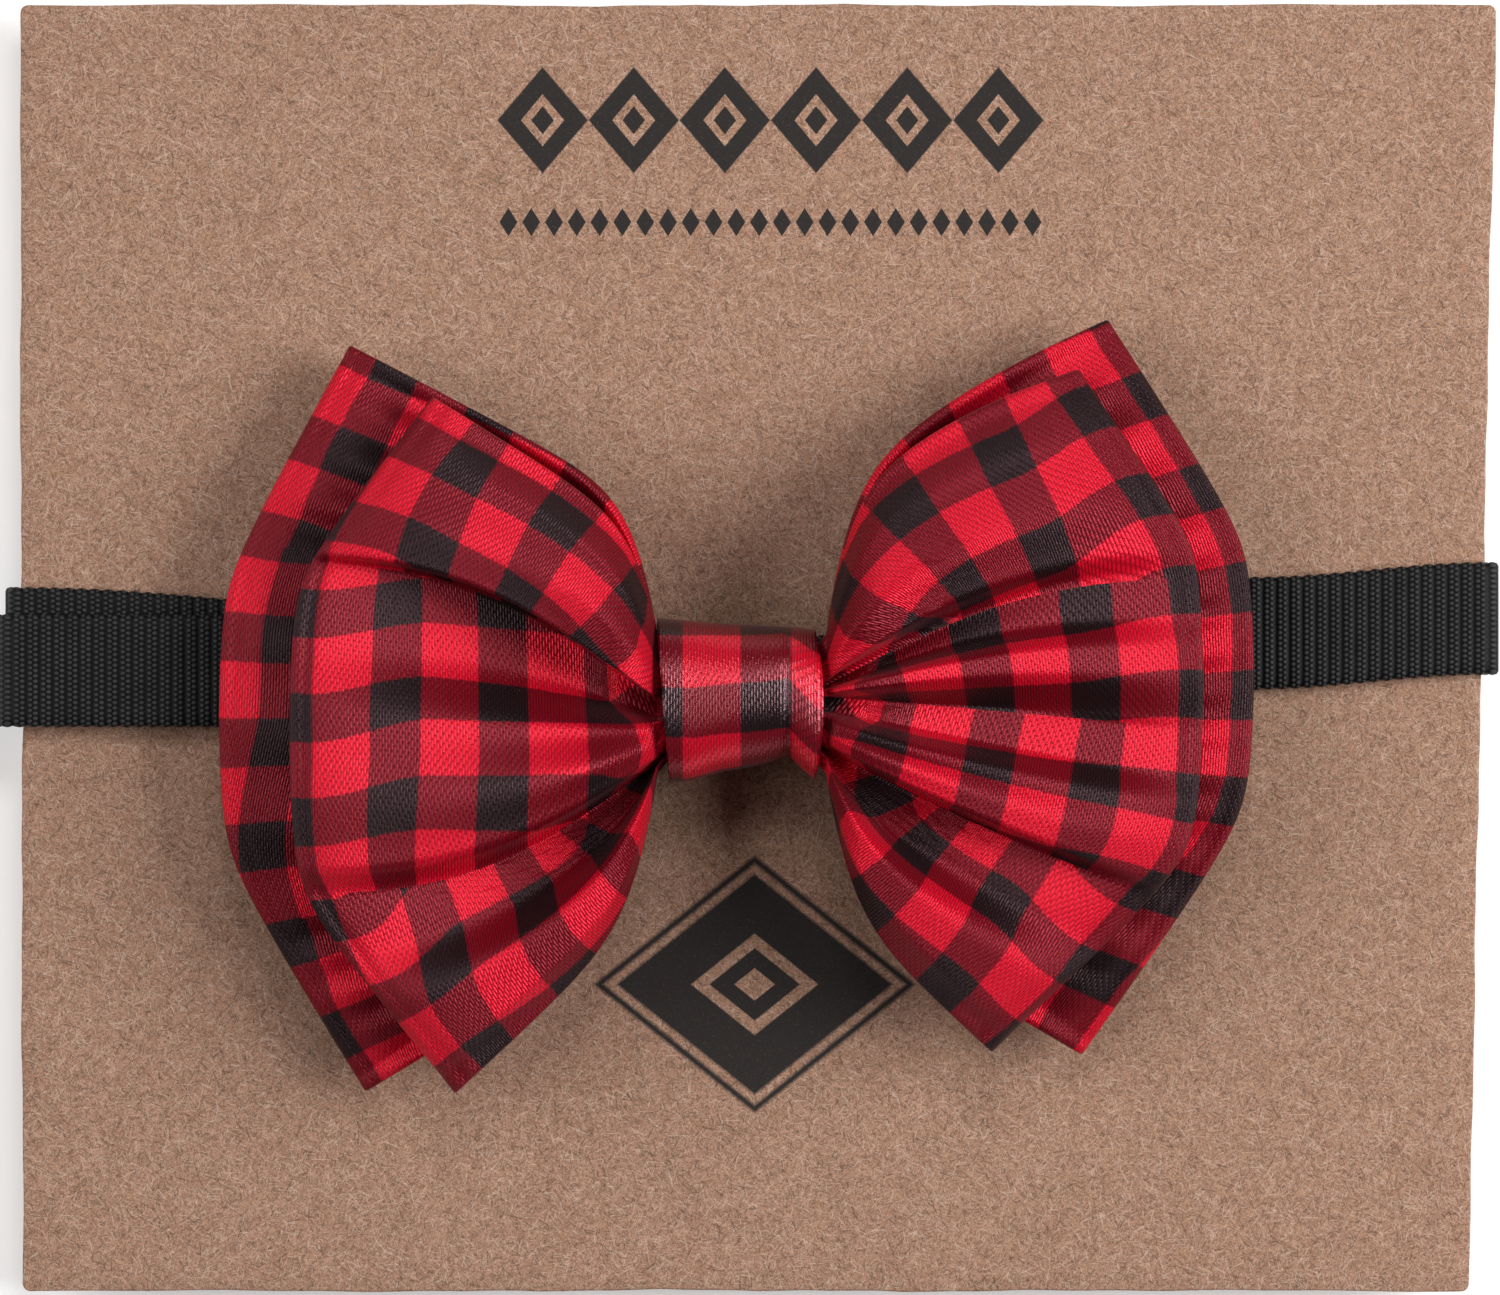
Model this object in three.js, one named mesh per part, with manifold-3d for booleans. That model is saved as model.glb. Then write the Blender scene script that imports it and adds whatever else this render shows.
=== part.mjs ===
// Dog collar with a double satin bow tie, fastened round the card that it is sold on.
// Millimetres, +Z up. The card lies face up over the closed clasp, whose back touches z = 0.
// The origin is the middle of the part's outline seen from above, at that level.

import * as THREE from 'three';
import { mergeVertices } from 'three/addons/utils/BufferGeometryUtils.js';
import Module from 'manifold-3d';

const wasm = await Module();
wasm.setup();

// Fit between pieces that touch
const clearance = 0.3;

// Display card, cut a little narrower at its foot
const cardWidthTop = 130.6;
const cardWidthBottom = 127.9;
const cardFootShift = -1.1;
const cardHeight = 113.8;
const cardThickness = 2.0;
const cardCornerRadius = 0.7;

// Webbing strap, and how high its middle line runs on the card at each place
const webWidth = 10.0;
const webThickness = 1.0;
const webRiseAtRightEdge = 2.6;
const webRiseAtRightWing = 1.3;
const webRiseAtLeftEdge = 0.4;
const webRiseOfTail = -2.0;
const tailEndFromEdge = 32.0;
const sewnEndLength = 9.0;

// Clasp under the card, closed, with a bar at each end for the webbing
const claspLength = 31.0;
const claspCheek = 1.6;
const claspBarWidth = 2.0;
const claspBarThickness = 1.6;
const claspCornerRadius = 2.2;
const claspRise = -0.8;

// Knot band round the waist of both bows and the strap
const knotWidth = 14.2;
const knotHeight = 15.3;
const knotWall = 1.0;
const knotCornerRadius = 2.0;

// Where the knot's middle lies on the card
const bowShift = -0.9;
const bowRise = -4.9;

// Bows: each is a closed band of doubled satin, gathered at its waist
const satinWall = 1.0;
const waistThickness = 4.4;
const frontBowWidth = 79.8;
const frontBowHeight = 60.2;
const frontFoldLevel = 11.9;
const backBowWidth = 90.8;
const backBowHeight = 64.8;
const backFoldLevel = 6.9;
const creaseThickness = 3.2;
const tipDroop = 2.4;
const shoulderLength = 2.0;
const foldSlit = 0.1;

// Swelling of the lobes: how soon they rise beside the knot, how much they lose towards the fold,
// how round they are across, and how strongly the fold line bulges and closes near the end
const lobeOnsetPower = 14;
const lobeLossShare = 0.78;
const lobeRoundness = 0.85;
const lobeWave = 0.12;
const settleShare = 0.3;
const foldSoftShare = 0.13;
const bulgePower = 2.5;
const closingPower = 8;

// Fineness of the bow meshes: strips across the band, steps from knot to fold
const stripsAcross = 24;
const stepsAlong = 9;

// Outline of each wing, as shares of the bow's half width and half height. The fold line runs
// steeply up to the share turnsAt of the way to a tip, and slants to the tip beyond it.
const frontOutline = {
  left: {
    reach: 0.99, widestAt: -0.07, turnsAt: 0.45,
    topTipX: 0.68, topTipY: 0.89, bottomTipX: 0.63, bottomTipY: 1.13,
  },
  right: {
    reach: 1.01, widestAt: 0.03, turnsAt: 0.45,
    topTipX: 0.74, topTipY: 0.97, bottomTipX: 0.55, bottomTipY: 1.01,
  },
};
const backOutline = {
  left: {
    reach: 1.01, widestAt: -0.04, turnsAt: 0.36,
    topTipX: 0.76, topTipY: 0.97, bottomTipX: 0.73, bottomTipY: 1.05,
  },
  right: {
    reach: 0.99, widestAt: 0.08, turnsAt: 0.36,
    topTipX: 0.71, topTipY: 1.04, bottomTipX: 0.66, bottomTipY: 0.95,
  },
};

// Creases from the top edge to the bottom edge. atKnot is a share of the waist's half height,
// atFold a share of the fold from its widest point to a tip, shoulder the share of the climb made
// beside the knot, sweep the bulge of the line, rise the height of the lobe below it as a share
// of the waist's thickness, and lean how far that lobe tips towards the bottom.
const frontCreases = {
  left: [
    { atKnot: 1.0, atFold: 1.0, shoulder: 0.41, sweep: 0.0, rise: 1.1, lean: 0.35 },
    { atKnot: 0.04, atFold: 0.48, shoulder: 0.0, sweep: 0.25, rise: 0.95, lean: 0.0 },
    { atKnot: -0.8, atFold: -0.47, shoulder: 0.0, sweep: 0.28, rise: 0.9, lean: -0.2 },
    { atKnot: -1.0, atFold: -1.0, shoulder: 0.41, sweep: 0.0, rise: 0.0, lean: 0.0 },
  ],
  right: [
    { atKnot: 1.0, atFold: 1.0, shoulder: 0.5, sweep: 0.05, rise: 1.1, lean: 0.3 },
    { atKnot: 0.27, atFold: 0.53, shoulder: 0.0, sweep: 0.18, rise: 0.7, lean: 0.0 },
    { atKnot: 0.1, atFold: -0.1, shoulder: 0.0, sweep: 0.0, rise: 0.95, lean: 0.1 },
    { atKnot: -0.6, atFold: -0.5, shoulder: 0.0, sweep: 0.06, rise: 0.9, lean: -0.2 },
    { atKnot: -1.0, atFold: -1.0, shoulder: 0.45, sweep: 0.0, rise: 0.0, lean: 0.0 },
  ],
};
const backCreases = {
  left: [
    { atKnot: 1.0, atFold: 1.0, shoulder: 0.44, sweep: 0.0, rise: 0.3, lean: 0.0 },
    { atKnot: 0.1, atFold: 0.48, shoulder: 0.0, sweep: 0.15, rise: 0.3, lean: 0.0 },
    { atKnot: -0.7, atFold: -0.56, shoulder: 0.0, sweep: 0.15, rise: 0.3, lean: 0.0 },
    { atKnot: -1.0, atFold: -1.0, shoulder: 0.44, sweep: 0.0, rise: 0.0, lean: 0.0 },
  ],
  right: [
    { atKnot: 1.0, atFold: 1.0, shoulder: 0.46, sweep: 0.04, rise: 0.3, lean: 0.0 },
    { atKnot: 0.3, atFold: 0.42, shoulder: 0.0, sweep: 0.1, rise: 0.25, lean: 0.0 },
    { atKnot: -0.1, atFold: -0.05, shoulder: 0.0, sweep: 0.0, rise: 0.25, lean: 0.0 },
    { atKnot: -0.6, atFold: -0.5, shoulder: 0.0, sweep: 0.06, rise: 0.3, lean: 0.0 },
    { atKnot: -1.0, atFold: -1.0, shoulder: 0.46, sweep: 0.0, rise: 0.0, lean: 0.0 },
  ],
};

// How much of a lobe's rise the panel behind it follows
const frontNest = 0.22;
const backNest = 0.0;

// Levels, from the clasp's back upwards
const webOffset = clearance + webThickness / 2;
const layerStep = webThickness + clearance;
const claspThickness = claspBarThickness + 2 * (webThickness + 2 * clearance);
const claspBarLow = (claspThickness - claspBarThickness) / 2;
const claspBarHigh = claspBarLow + claspBarThickness;
const cardBottom = claspThickness + clearance;
const cardTop = cardBottom + cardThickness;
const knotBottom = cardTop + clearance;
const webAtKnot = knotBottom + knotWall + webOffset;
const backWaist = webAtKnot + webOffset + waistThickness / 2;
const frontWaist = backWaist + waistThickness + clearance;
const knotTop = frontWaist + waistThickness / 2 + clearance + knotWall;

// Half sizes and places that pieces share
const knotInnerHalf = knotHeight / 2 - knotWall;
const waistHalf = knotInnerHalf - 2 * clearance;
const waistReach = knotWidth / 2 + clearance;
const webRiseAtKnot = bowRise + knotInnerHalf - webWidth / 2 - 2 * clearance;
const claspHalf = claspLength / 2;
const claspBarInner = claspHalf - claspBarWidth;
const slotHalfHeight = webWidth / 2 + clearance;
const claspHalfHeight = slotHalfHeight + claspCheek;

function cardEdge(side, rise) {
  // X of the card's left or right edge at a height on the card.
  const share = 0.5 - rise / cardHeight;
  const halfWidth = THREE.MathUtils.lerp(cardWidthTop, cardWidthBottom, share) / 2;
  return side * halfWidth + cardFootShift * (share - 0.5);
}

// The part is moved so that the strap reaches equally far beyond both sides of the origin
const reachLeft = cardEdge(-1, webRiseOfTail) - webOffset - layerStep - webThickness / 2;
const reachRight = cardEdge(1, webRiseAtRightEdge) + webOffset + webThickness / 2;
const partShift = -(reachLeft + reachRight) / 2;

function solidMesh(name, geometry, material) {
  const mesh = new THREE.Mesh(geometry, material);
  mesh.name = name;
  return mesh;
}

function toManifold(geometry) {
  const bare = geometry.clone();
  bare.deleteAttribute('normal');
  bare.deleteAttribute('uv');
  const merged = mergeVertices(bare, 1e-4);
  return new wasm.Manifold(new wasm.Mesh({
    numProp: 3,
    vertProperties: new Float32Array(merged.attributes.position.array),
    triVerts: new Uint32Array(merged.index.array),
  }));
}

function fromManifold(solid) {
  const mesh = solid.getMesh();
  const geometry = new THREE.BufferGeometry();
  geometry.setAttribute('position', new THREE.BufferAttribute(new Float32Array(mesh.vertProperties), 3));
  geometry.setIndex(new THREE.BufferAttribute(new Uint32Array(mesh.triVerts), 1));
  geometry.computeVertexNormals();
  return geometry;
}

function facesGeometry(points, faces) {
  // Points as [x, y, z] and triangles as index triples.
  const geometry = new THREE.BufferGeometry();
  geometry.setAttribute('position', new THREE.Float32BufferAttribute(points.flat(), 3));
  geometry.setIndex(faces.flat());
  geometry.computeVertexNormals();
  return geometry;
}

function roundedShape(corners, radius) {
  // Outline through corners given anticlockwise, each rounded by one curve.
  const shape = new THREE.Shape();
  corners.forEach((corner, index) => {
    const before = corners[(index + corners.length - 1) % corners.length];
    const after = corners[(index + 1) % corners.length];
    const start = corner.clone().add(before.clone().sub(corner).setLength(radius));
    const end = corner.clone().add(after.clone().sub(corner).setLength(radius));
    if (index === 0) {
      shape.moveTo(start.x, start.y);
    } else {
      shape.lineTo(start.x, start.y);
    }
    shape.quadraticCurveTo(corner.x, corner.y, end.x, end.y);
  });
  shape.closePath();
  return shape;
}

function boxCorners(halfX, halfY) {
  return [[halfX, -halfY], [halfX, halfY], [-halfX, halfY], [-halfX, -halfY]]
    .map(([x, y]) => new THREE.Vector2(x, y));
}

function boxSolid(fromX, toX, halfY, fromZ, toZ) {
  const box = new THREE.BoxGeometry(toX - fromX, 2 * halfY, toZ - fromZ);
  box.translate((fromX + toX) / 2, 0, (fromZ + toZ) / 2);
  return toManifold(box);
}

// Display card: one thick sheet of board
function cardGeometry() {
  const top = cardHeight / 2;
  const corners = [
    new THREE.Vector2(cardEdge(1, -top), -top),
    new THREE.Vector2(cardEdge(1, top), top),
    new THREE.Vector2(cardEdge(-1, top), top),
    new THREE.Vector2(cardEdge(-1, -top), -top),
  ];
  const outline = roundedShape(corners, cardCornerRadius);
  return new THREE.ExtrudeGeometry(outline, { depth: cardThickness, bevelEnabled: false, curveSegments: 5 });
}

// Clasp: a closed block with a slot and a thinner bar at each end
function claspGeometry() {
  const outline = roundedShape(boxCorners(claspHalf, claspHalfHeight), claspCornerRadius);
  const block = new THREE.ExtrudeGeometry(outline, {
    depth: claspThickness, bevelEnabled: false, curveSegments: 6,
  });
  const slotWidth = webThickness + 2 * clearance;
  const beyond = claspHalf + clearance;
  let solid = toManifold(block);
  for (const side of [-1, 1]) {
    const cuts = [
      [claspBarInner - slotWidth, claspBarInner, -clearance, claspThickness + clearance],
      [claspBarInner - slotWidth, beyond, -clearance, claspBarLow],
      [claspBarInner - slotWidth, beyond, claspBarHigh, claspThickness + clearance],
    ];
    for (const [near, far, low, high] of cuts) {
      const fromX = side > 0 ? near : -far;
      const toX = side > 0 ? far : -near;
      solid = solid.subtract(boxSolid(fromX, toX, slotHalfHeight, low, high));
    }
  }
  return fromManifold(solid);
}

// Route of the strap's middle line as stations { x, z, rise }, seen from the card's foot
function addArc(route, corner, radius, fromDegrees, toDegrees, rise) {
  const steps = 5;
  for (let step = 0; step <= steps; step++) {
    const angle = THREE.MathUtils.degToRad(THREE.MathUtils.lerp(fromDegrees, toDegrees, step / steps));
    route.push({ x: corner[0] + radius * Math.cos(angle), z: corner[1] + radius * Math.sin(angle), rise });
  }
}

function addRun(route, toX, toZ, toRise, steps) {
  // A straight run in side view whose place on the card eases from one height to the next.
  const from = route[route.length - 1];
  for (let step = 1; step < steps; step++) {
    const share = step / steps;
    route.push({
      x: THREE.MathUtils.lerp(from.x, toX, share),
      z: THREE.MathUtils.lerp(from.z, toZ, share),
      rise: THREE.MathUtils.lerp(from.rise, toRise, THREE.MathUtils.smoothstep(share, 0, 1)),
    });
  }
}

function wrapCardEdge(route, side, upwards, offset, rise) {
  const edge = cardEdge(side, rise);
  const low = [edge, cardBottom];
  const high = [edge, cardTop];
  const outward = side > 0 ? 0 : 180;
  const down = side > 0 ? -90 : 270;
  if (upwards) {
    addArc(route, low, offset, down, outward, rise);
    addArc(route, high, offset, outward, 90, rise);
  } else {
    addArc(route, high, offset, 90, outward, rise);
    addArc(route, low, offset, outward, down, rise);
  }
}

function wrapBar(route, side, upwards) {
  // The webbing passes round the side of the bar that faces the middle of the clasp.
  const low = [side * claspBarInner, claspBarLow];
  const high = [side * claspBarInner, claspBarHigh];
  const inward = side > 0 ? 180 : 0;
  const down = side > 0 ? 270 : -90;
  if (upwards) {
    addArc(route, low, webOffset, down, inward, claspRise);
    addArc(route, high, webOffset, inward, 90, claspRise);
  } else {
    addArc(route, high, webOffset, 90, inward, claspRise);
    addArc(route, low, webOffset, inward, down, claspRise);
  }
}

function strapRoute() {
  const lowRun = claspBarLow - webOffset;
  const highRun = claspBarHigh + webOffset;
  const outerOffset = webOffset + layerStep;
  const waistRight = bowShift + waistReach;
  const waistLeft = bowShift - waistReach;
  const leftEdge = cardEdge(-1, webRiseAtLeftEdge);
  const rightWing = bowShift + backBowWidth / 2;
  const frontLevel = cardTop + webOffset;
  const wingShare = (rightWing - waistRight) / (cardEdge(1, webRiseAtRightEdge) - waistRight);
  const levelAtWing = THREE.MathUtils.lerp(webAtKnot, frontLevel, wingShare);
  const tailEnd = leftEdge + tailEndFromEdge;
  const tailShare = tailEndFromEdge / (waistLeft - leftEdge);
  const levelAtTail = THREE.MathUtils.lerp(frontLevel, webAtKnot, tailShare) + layerStep;

  const route = [{ x: claspHalf + sewnEndLength, z: lowRun, rise: claspRise }];
  wrapBar(route, 1, true);
  route.push({ x: claspHalf + clearance, z: highRun, rise: claspRise });
  addRun(route, cardEdge(1, webRiseAtRightEdge), cardBottom - webOffset, webRiseAtRightEdge, 6);
  wrapCardEdge(route, 1, true, webOffset, webRiseAtRightEdge);
  addRun(route, rightWing, levelAtWing, webRiseAtRightWing, 4);
  route.push({ x: rightWing, z: levelAtWing, rise: webRiseAtRightWing });
  addRun(route, waistRight, webAtKnot, webRiseAtKnot, 6);
  route.push({ x: waistRight, z: webAtKnot, rise: webRiseAtKnot });
  route.push({ x: waistLeft, z: webAtKnot, rise: webRiseAtKnot });
  addRun(route, leftEdge, frontLevel, webRiseAtLeftEdge, 9);
  wrapCardEdge(route, -1, false, webOffset, webRiseAtLeftEdge);
  addRun(route, -claspHalf - clearance, highRun, claspRise, 6);
  route.push({ x: -claspHalf - clearance, z: highRun, rise: claspRise });
  wrapBar(route, -1, false);
  route.push({ x: -claspHalf - clearance, z: lowRun, rise: claspRise });
  addRun(route, leftEdge, cardBottom - outerOffset, webRiseOfTail, 6);
  wrapCardEdge(route, -1, true, outerOffset, webRiseOfTail);
  addRun(route, tailEnd, levelAtTail, webRiseOfTail, 4);
  route.push({ x: tailEnd, z: levelAtTail, rise: webRiseOfTail });
  return route;
}

// Strap: one length of webbing carried along the route, square at both ends
function strapGeometry() {
  const route = strapRoute();
  const points = [];
  const faces = [];
  route.forEach((station, index) => {
    const before = route[Math.max(index - 1, 0)];
    const after = route[Math.min(index + 1, route.length - 1)];
    const along = new THREE.Vector2(after.x - before.x, after.z - before.z).normalize();
    const sideX = along.y * webThickness / 2;
    const sideZ = -along.x * webThickness / 2;
    for (const [face, edge] of [[1, 1], [1, -1], [-1, -1], [-1, 1]]) {
      points.push([
        station.x + face * sideX,
        station.rise + edge * webWidth / 2,
        station.z + face * sideZ,
      ]);
    }
  });
  const last = 4 * (route.length - 1);
  for (let ring = 0; ring < last; ring += 4) {
    for (let side = 0; side < 4; side++) {
      const next = (side + 1) % 4;
      faces.push([ring + side, ring + 4 + side, ring + 4 + next]);
      faces.push([ring + side, ring + 4 + next, ring + next]);
    }
  }
  faces.push([0, 1, 2], [0, 2, 3]);
  faces.push([last, last + 2, last + 1], [last, last + 3, last + 2]);
  return facesGeometry(points, faces);
}

// Knot: a flat band of satin closed round the gathered waist
function knotGeometry() {
  const halfDepth = (knotTop - knotBottom) / 2;
  const outline = roundedShape(boxCorners(knotHeight / 2, halfDepth), knotCornerRadius);
  const innerRadius = knotCornerRadius - knotWall;
  const hole = roundedShape(boxCorners(knotInnerHalf, halfDepth - knotWall), innerRadius);
  outline.holes.push(hole);
  const band = new THREE.ExtrudeGeometry(outline, {
    depth: knotWidth, bevelEnabled: false, curveSegments: 6,
  });
  band.translate(0, 0, -knotWidth / 2);
  band.rotateX(Math.PI / 2);
  band.rotateZ(Math.PI / 2);
  return band;
}

// Fold line of a wing: steep beside its widest point, then slanting straight to each tip
function foldPoint(bow, outline, along) {
  const bend = (share) => share - outline.turnsAt + Math.hypot(share - outline.turnsAt, foldSoftShare);
  const inset = (bend(Math.abs(along)) - bend(0)) / (bend(1) - bend(0));
  const tipX = along > 0 ? outline.topTipX : outline.bottomTipX;
  const tipY = along > 0 ? outline.topTipY : -outline.bottomTipY;
  const x = THREE.MathUtils.lerp(outline.reach, tipX, inset) * bow.width / 2;
  const y = THREE.MathUtils.lerp(outline.widestAt, tipY, Math.abs(along)) * bow.height / 2;
  return [x, y];
}

function foldClosing(share) {
  // The two panels run apart from the knot outwards and come together roundly at the fold.
  return Math.sqrt(1 - Math.pow(share, closingPower));
}

function creasePoint(bow, outline, crease, share) {
  // A crease or edge from the knot (share 0) to the fold (share 1), in the right-hand sense.
  const [foldX, foldY] = foldPoint(bow, outline, crease.atFold);
  const quick = 1 - Math.exp(-share * (foldX - waistReach) / shoulderLength);
  const climb = crease.shoulder * quick + (1 - crease.shoulder) * share
    + crease.sweep * Math.sin(Math.PI * share);
  const start = crease.atKnot * waistHalf;
  return [THREE.MathUtils.lerp(waistReach, foldX, share), THREE.MathUtils.lerp(start, foldY, climb)];
}

function wingPoint(bow, side, share, strip) {
  // Place on the wing seen from above, its middle level, and how far each panel stands off it.
  const outline = side > 0 ? bow.outline.right : bow.outline.left;
  const creases = side > 0 ? bow.creases.right : bow.creases.left;
  const lobes = creases.length - 1;
  const place = strip * lobes / stripsAcross;
  const lobe = Math.min(Math.floor(place + 1e-9), lobes - 1);
  const within = THREE.MathUtils.clamp(place - lobe, 0, 1);
  const [above, below] = [creases[lobe], creases[lobe + 1]];
  const upper = creasePoint(bow, outline, above, share);
  const lower = creasePoint(bow, outline, below, share);
  const along = THREE.MathUtils.lerp(above.atFold, below.atFold, within);
  const fold = foldPoint(bow, outline, along);
  const foldUpper = foldPoint(bow, outline, above.atFold);
  const foldLower = foldPoint(bow, outline, below.atFold);
  const bulge = Math.pow(share, bulgePower);
  const arch = Math.pow(Math.sin(Math.PI * within), lobeRoundness);
  const swell = (1 - Math.exp(-share * lobeOnsetPower)) * (1 - lobeLossShare * share);
  const lobeRise = above.rise * waistThickness * swell * arch;
  const settle = THREE.MathUtils.smoothstep(share, 0, settleShare);
  const standing = THREE.MathUtils.lerp(waistThickness, creaseThickness, settle) / 2;
  const closing = foldClosing(share);
  const plan = [0, 1].map((axis) => THREE.MathUtils.lerp(upper[axis], lower[axis], within)
    + bulge * (fold[axis] - THREE.MathUtils.lerp(foldUpper[axis], foldLower[axis], within)));
  const wave = lobeWave * above.rise * waistThickness * arch * share * share;
  return {
    x: side * plan[0],
    y: plan[1] - above.lean * lobeRise,
    level: THREE.MathUtils.lerp(bow.waistLevel, bow.foldLevel, share) + wave
      - tipDroop * along * along * share * share,
    up: (standing + lobeRise) * closing,
    down: (standing - bow.nest * lobeRise) * closing,
  };
}

function bowGrid(bow, inner) {
  // Rings round the band: over the top from the left fold to the right one, and back underneath.
  const shares = Array.from({ length: stepsAlong + 1 }, (_, step) => (
    0.5 - 0.5 * Math.cos(Math.PI * step / stepsAlong)));
  const wayOut = shares.slice(0, -1);
  const wayIn = [...wayOut].reverse();
  const stations = [
    ...[...shares].reverse().map((share) => ({ side: -1, share, face: 1 })),
    ...shares.map((share) => ({ side: 1, share, face: 1 })),
    ...wayIn.map((share) => ({ side: 1, share, face: -1 })),
    ...wayOut.map((share) => ({ side: -1, share, face: -1 })),
  ];
  const shrink = inner ? 1 - satinWall / (bow.width / 2 - waistReach) : 1;
  return stations.map(({ side, share, face }) => (
    Array.from({ length: stripsAcross + 1 }, (_, strip) => {
      const point = wingPoint(bow, side, share * shrink, strip);
      let standOff = face > 0 ? point.up : point.down;
      if (inner) {
        standOff = Math.max(standOff - satinWall, foldSlit) * foldClosing(share);
      }
      return [point.x, point.y, point.level + face * standOff];
    })));
}

// Bow: the outer and inner faces of the band, closed along its top and bottom edges
function bowGeometry(bow) {
  const outer = bowGrid(bow, false);
  const inner = bowGrid(bow, true);
  const rings = outer.length;
  const columns = stripsAcross + 1;
  const points = [...outer.flat(), ...inner.flat()];
  const at = (layer, ring, strip) => (layer * rings + ring % rings) * columns + strip;
  const faces = [];
  const quad = (a, b, c, d) => faces.push([a, b, c], [a, c, d]);
  for (let ring = 0; ring < rings; ring++) {
    for (let strip = 0; strip < stripsAcross; strip++) {
      quad(at(0, ring, strip), at(0, ring, strip + 1), at(0, ring + 1, strip + 1), at(0, ring + 1, strip));
      quad(at(1, ring, strip), at(1, ring + 1, strip), at(1, ring + 1, strip + 1), at(1, ring, strip + 1));
    }
    quad(at(0, ring, 0), at(0, ring + 1, 0), at(1, ring + 1, 0), at(1, ring, 0));
    quad(at(0, ring, stripsAcross), at(1, ring, stripsAcross),
      at(1, ring + 1, stripsAcross), at(0, ring + 1, stripsAcross));
  }
  return facesGeometry(points, faces);
}

const cardBoard = new THREE.MeshStandardMaterial({ color: 0xa5806d, roughness: 0.85, metalness: 0.0 });
const blackWebbing = new THREE.MeshStandardMaterial({ color: 0x1f1f20, roughness: 0.7, metalness: 0.0 });
const blackPlastic = new THREE.MeshStandardMaterial({ color: 0x18181a, roughness: 0.4, metalness: 0.0 });
const redSatin = new THREE.MeshStandardMaterial({ color: 0xc22a3c, roughness: 0.4, metalness: 0.0 });
const darkSatin = new THREE.MeshStandardMaterial({ color: 0x9a2532, roughness: 0.4, metalness: 0.0 });

const frontBow = {
  width: frontBowWidth,
  height: frontBowHeight,
  outline: frontOutline,
  creases: frontCreases,
  waistLevel: frontWaist,
  foldLevel: cardTop + frontFoldLevel,
  nest: frontNest,
};
const backBow = {
  width: backBowWidth,
  height: backBowHeight,
  outline: backOutline,
  creases: backCreases,
  waistLevel: backWaist,
  foldLevel: cardTop + backFoldLevel,
  nest: backNest,
};

const collar = new THREE.Group();
collar.name = 'collar';
collar.position.x = partShift;

const card = solidMesh('display_card', cardGeometry(), cardBoard);
card.position.z = cardBottom;
collar.add(card);

const clasp = solidMesh('clasp', claspGeometry(), blackPlastic);
clasp.position.y = claspRise;
collar.add(clasp);

collar.add(solidMesh('collar_strap', strapGeometry(), blackWebbing));

const bowTie = new THREE.Group();
bowTie.name = 'bow_tie';
bowTie.position.set(bowShift, bowRise, 0);
collar.add(bowTie);
bowTie.add(solidMesh('back_bow', bowGeometry(backBow), darkSatin));
bowTie.add(solidMesh('front_bow', bowGeometry(frontBow), redSatin));

const knot = solidMesh('knot_band', knotGeometry(), redSatin);
knot.position.z = (knotBottom + knotTop) / 2;
bowTie.add(knot);

export default collar;
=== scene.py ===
"""Dog collar with a double gingham bow, closed round the card that it is sold on.

The card lies face up on the floor with the clasp under it. X runs to the right, Y to the card's
head and Z up. Lengths are metres, written as millimetres times mm.
"""
import math

import bpy
import numpy as np
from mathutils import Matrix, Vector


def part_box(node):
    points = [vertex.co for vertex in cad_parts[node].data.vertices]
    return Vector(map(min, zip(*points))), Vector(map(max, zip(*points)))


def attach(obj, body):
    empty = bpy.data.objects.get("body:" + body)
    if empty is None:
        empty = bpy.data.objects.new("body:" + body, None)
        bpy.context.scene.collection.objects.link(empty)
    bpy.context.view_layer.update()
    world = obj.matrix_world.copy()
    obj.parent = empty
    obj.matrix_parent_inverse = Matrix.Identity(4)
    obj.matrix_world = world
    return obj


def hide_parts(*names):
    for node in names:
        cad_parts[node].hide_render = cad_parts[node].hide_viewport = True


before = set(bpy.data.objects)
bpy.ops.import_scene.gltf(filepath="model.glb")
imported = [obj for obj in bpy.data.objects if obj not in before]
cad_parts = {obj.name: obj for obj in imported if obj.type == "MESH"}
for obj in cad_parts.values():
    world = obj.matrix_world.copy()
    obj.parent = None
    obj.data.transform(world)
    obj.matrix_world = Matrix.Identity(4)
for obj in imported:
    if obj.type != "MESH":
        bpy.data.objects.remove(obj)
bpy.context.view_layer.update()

# Camera: square above the card and a metre off, so that the picture takes in the whole card and
# the strap's turns round its edges.
mm = 0.001
card_low, card_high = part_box("display_card")
camera_height = 1.0
view_width = 132.45 * mm
view_middle_x = 0.44 * mm
view_middle_y = 0.04 * mm
sensor_width = 36.0

camera = bpy.data.objects.new("camera", bpy.data.cameras.new("camera"))
camera.data.sensor_width = sensor_width
camera.data.lens = sensor_width * camera_height / view_width
camera.location = (view_middle_x, view_middle_y, card_high.z + camera_height)
bpy.context.scene.collection.objects.link(camera)
bpy.context.scene.camera = camera

# Studio: a white table under the part, a soft lamp at each side, a smaller one above the card's
# head, and a dim white room all round that keeps the shadows open.
scene = bpy.context.scene
scene.view_settings.view_transform = 'Standard'


def feed(made, inputs):
    """Sets a node's inputs to values, or links them to the sockets of other nodes."""
    for key, value in inputs.items():
        if isinstance(value, bpy.types.NodeSocket):
            made.id_data.links.new(value, made.inputs[key])
        else:
            made.inputs[key].default_value = value


def node(tree, kind, inputs=None, **settings):
    """Adds a node with its settings and inputs."""
    made = tree.nodes.new(kind)
    for key, value in settings.items():
        setattr(made, key, value)
    feed(made, inputs or {})
    return made


def new_material(name):
    """A material with its node tree and its Principled BSDF. The functions below that are given
    sockets add to the tree that the sockets are in, their id_data."""
    material = bpy.data.materials.new(name)
    material.use_nodes = True
    return material, material.node_tree, material.node_tree.nodes["Principled BSDF"]


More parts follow.
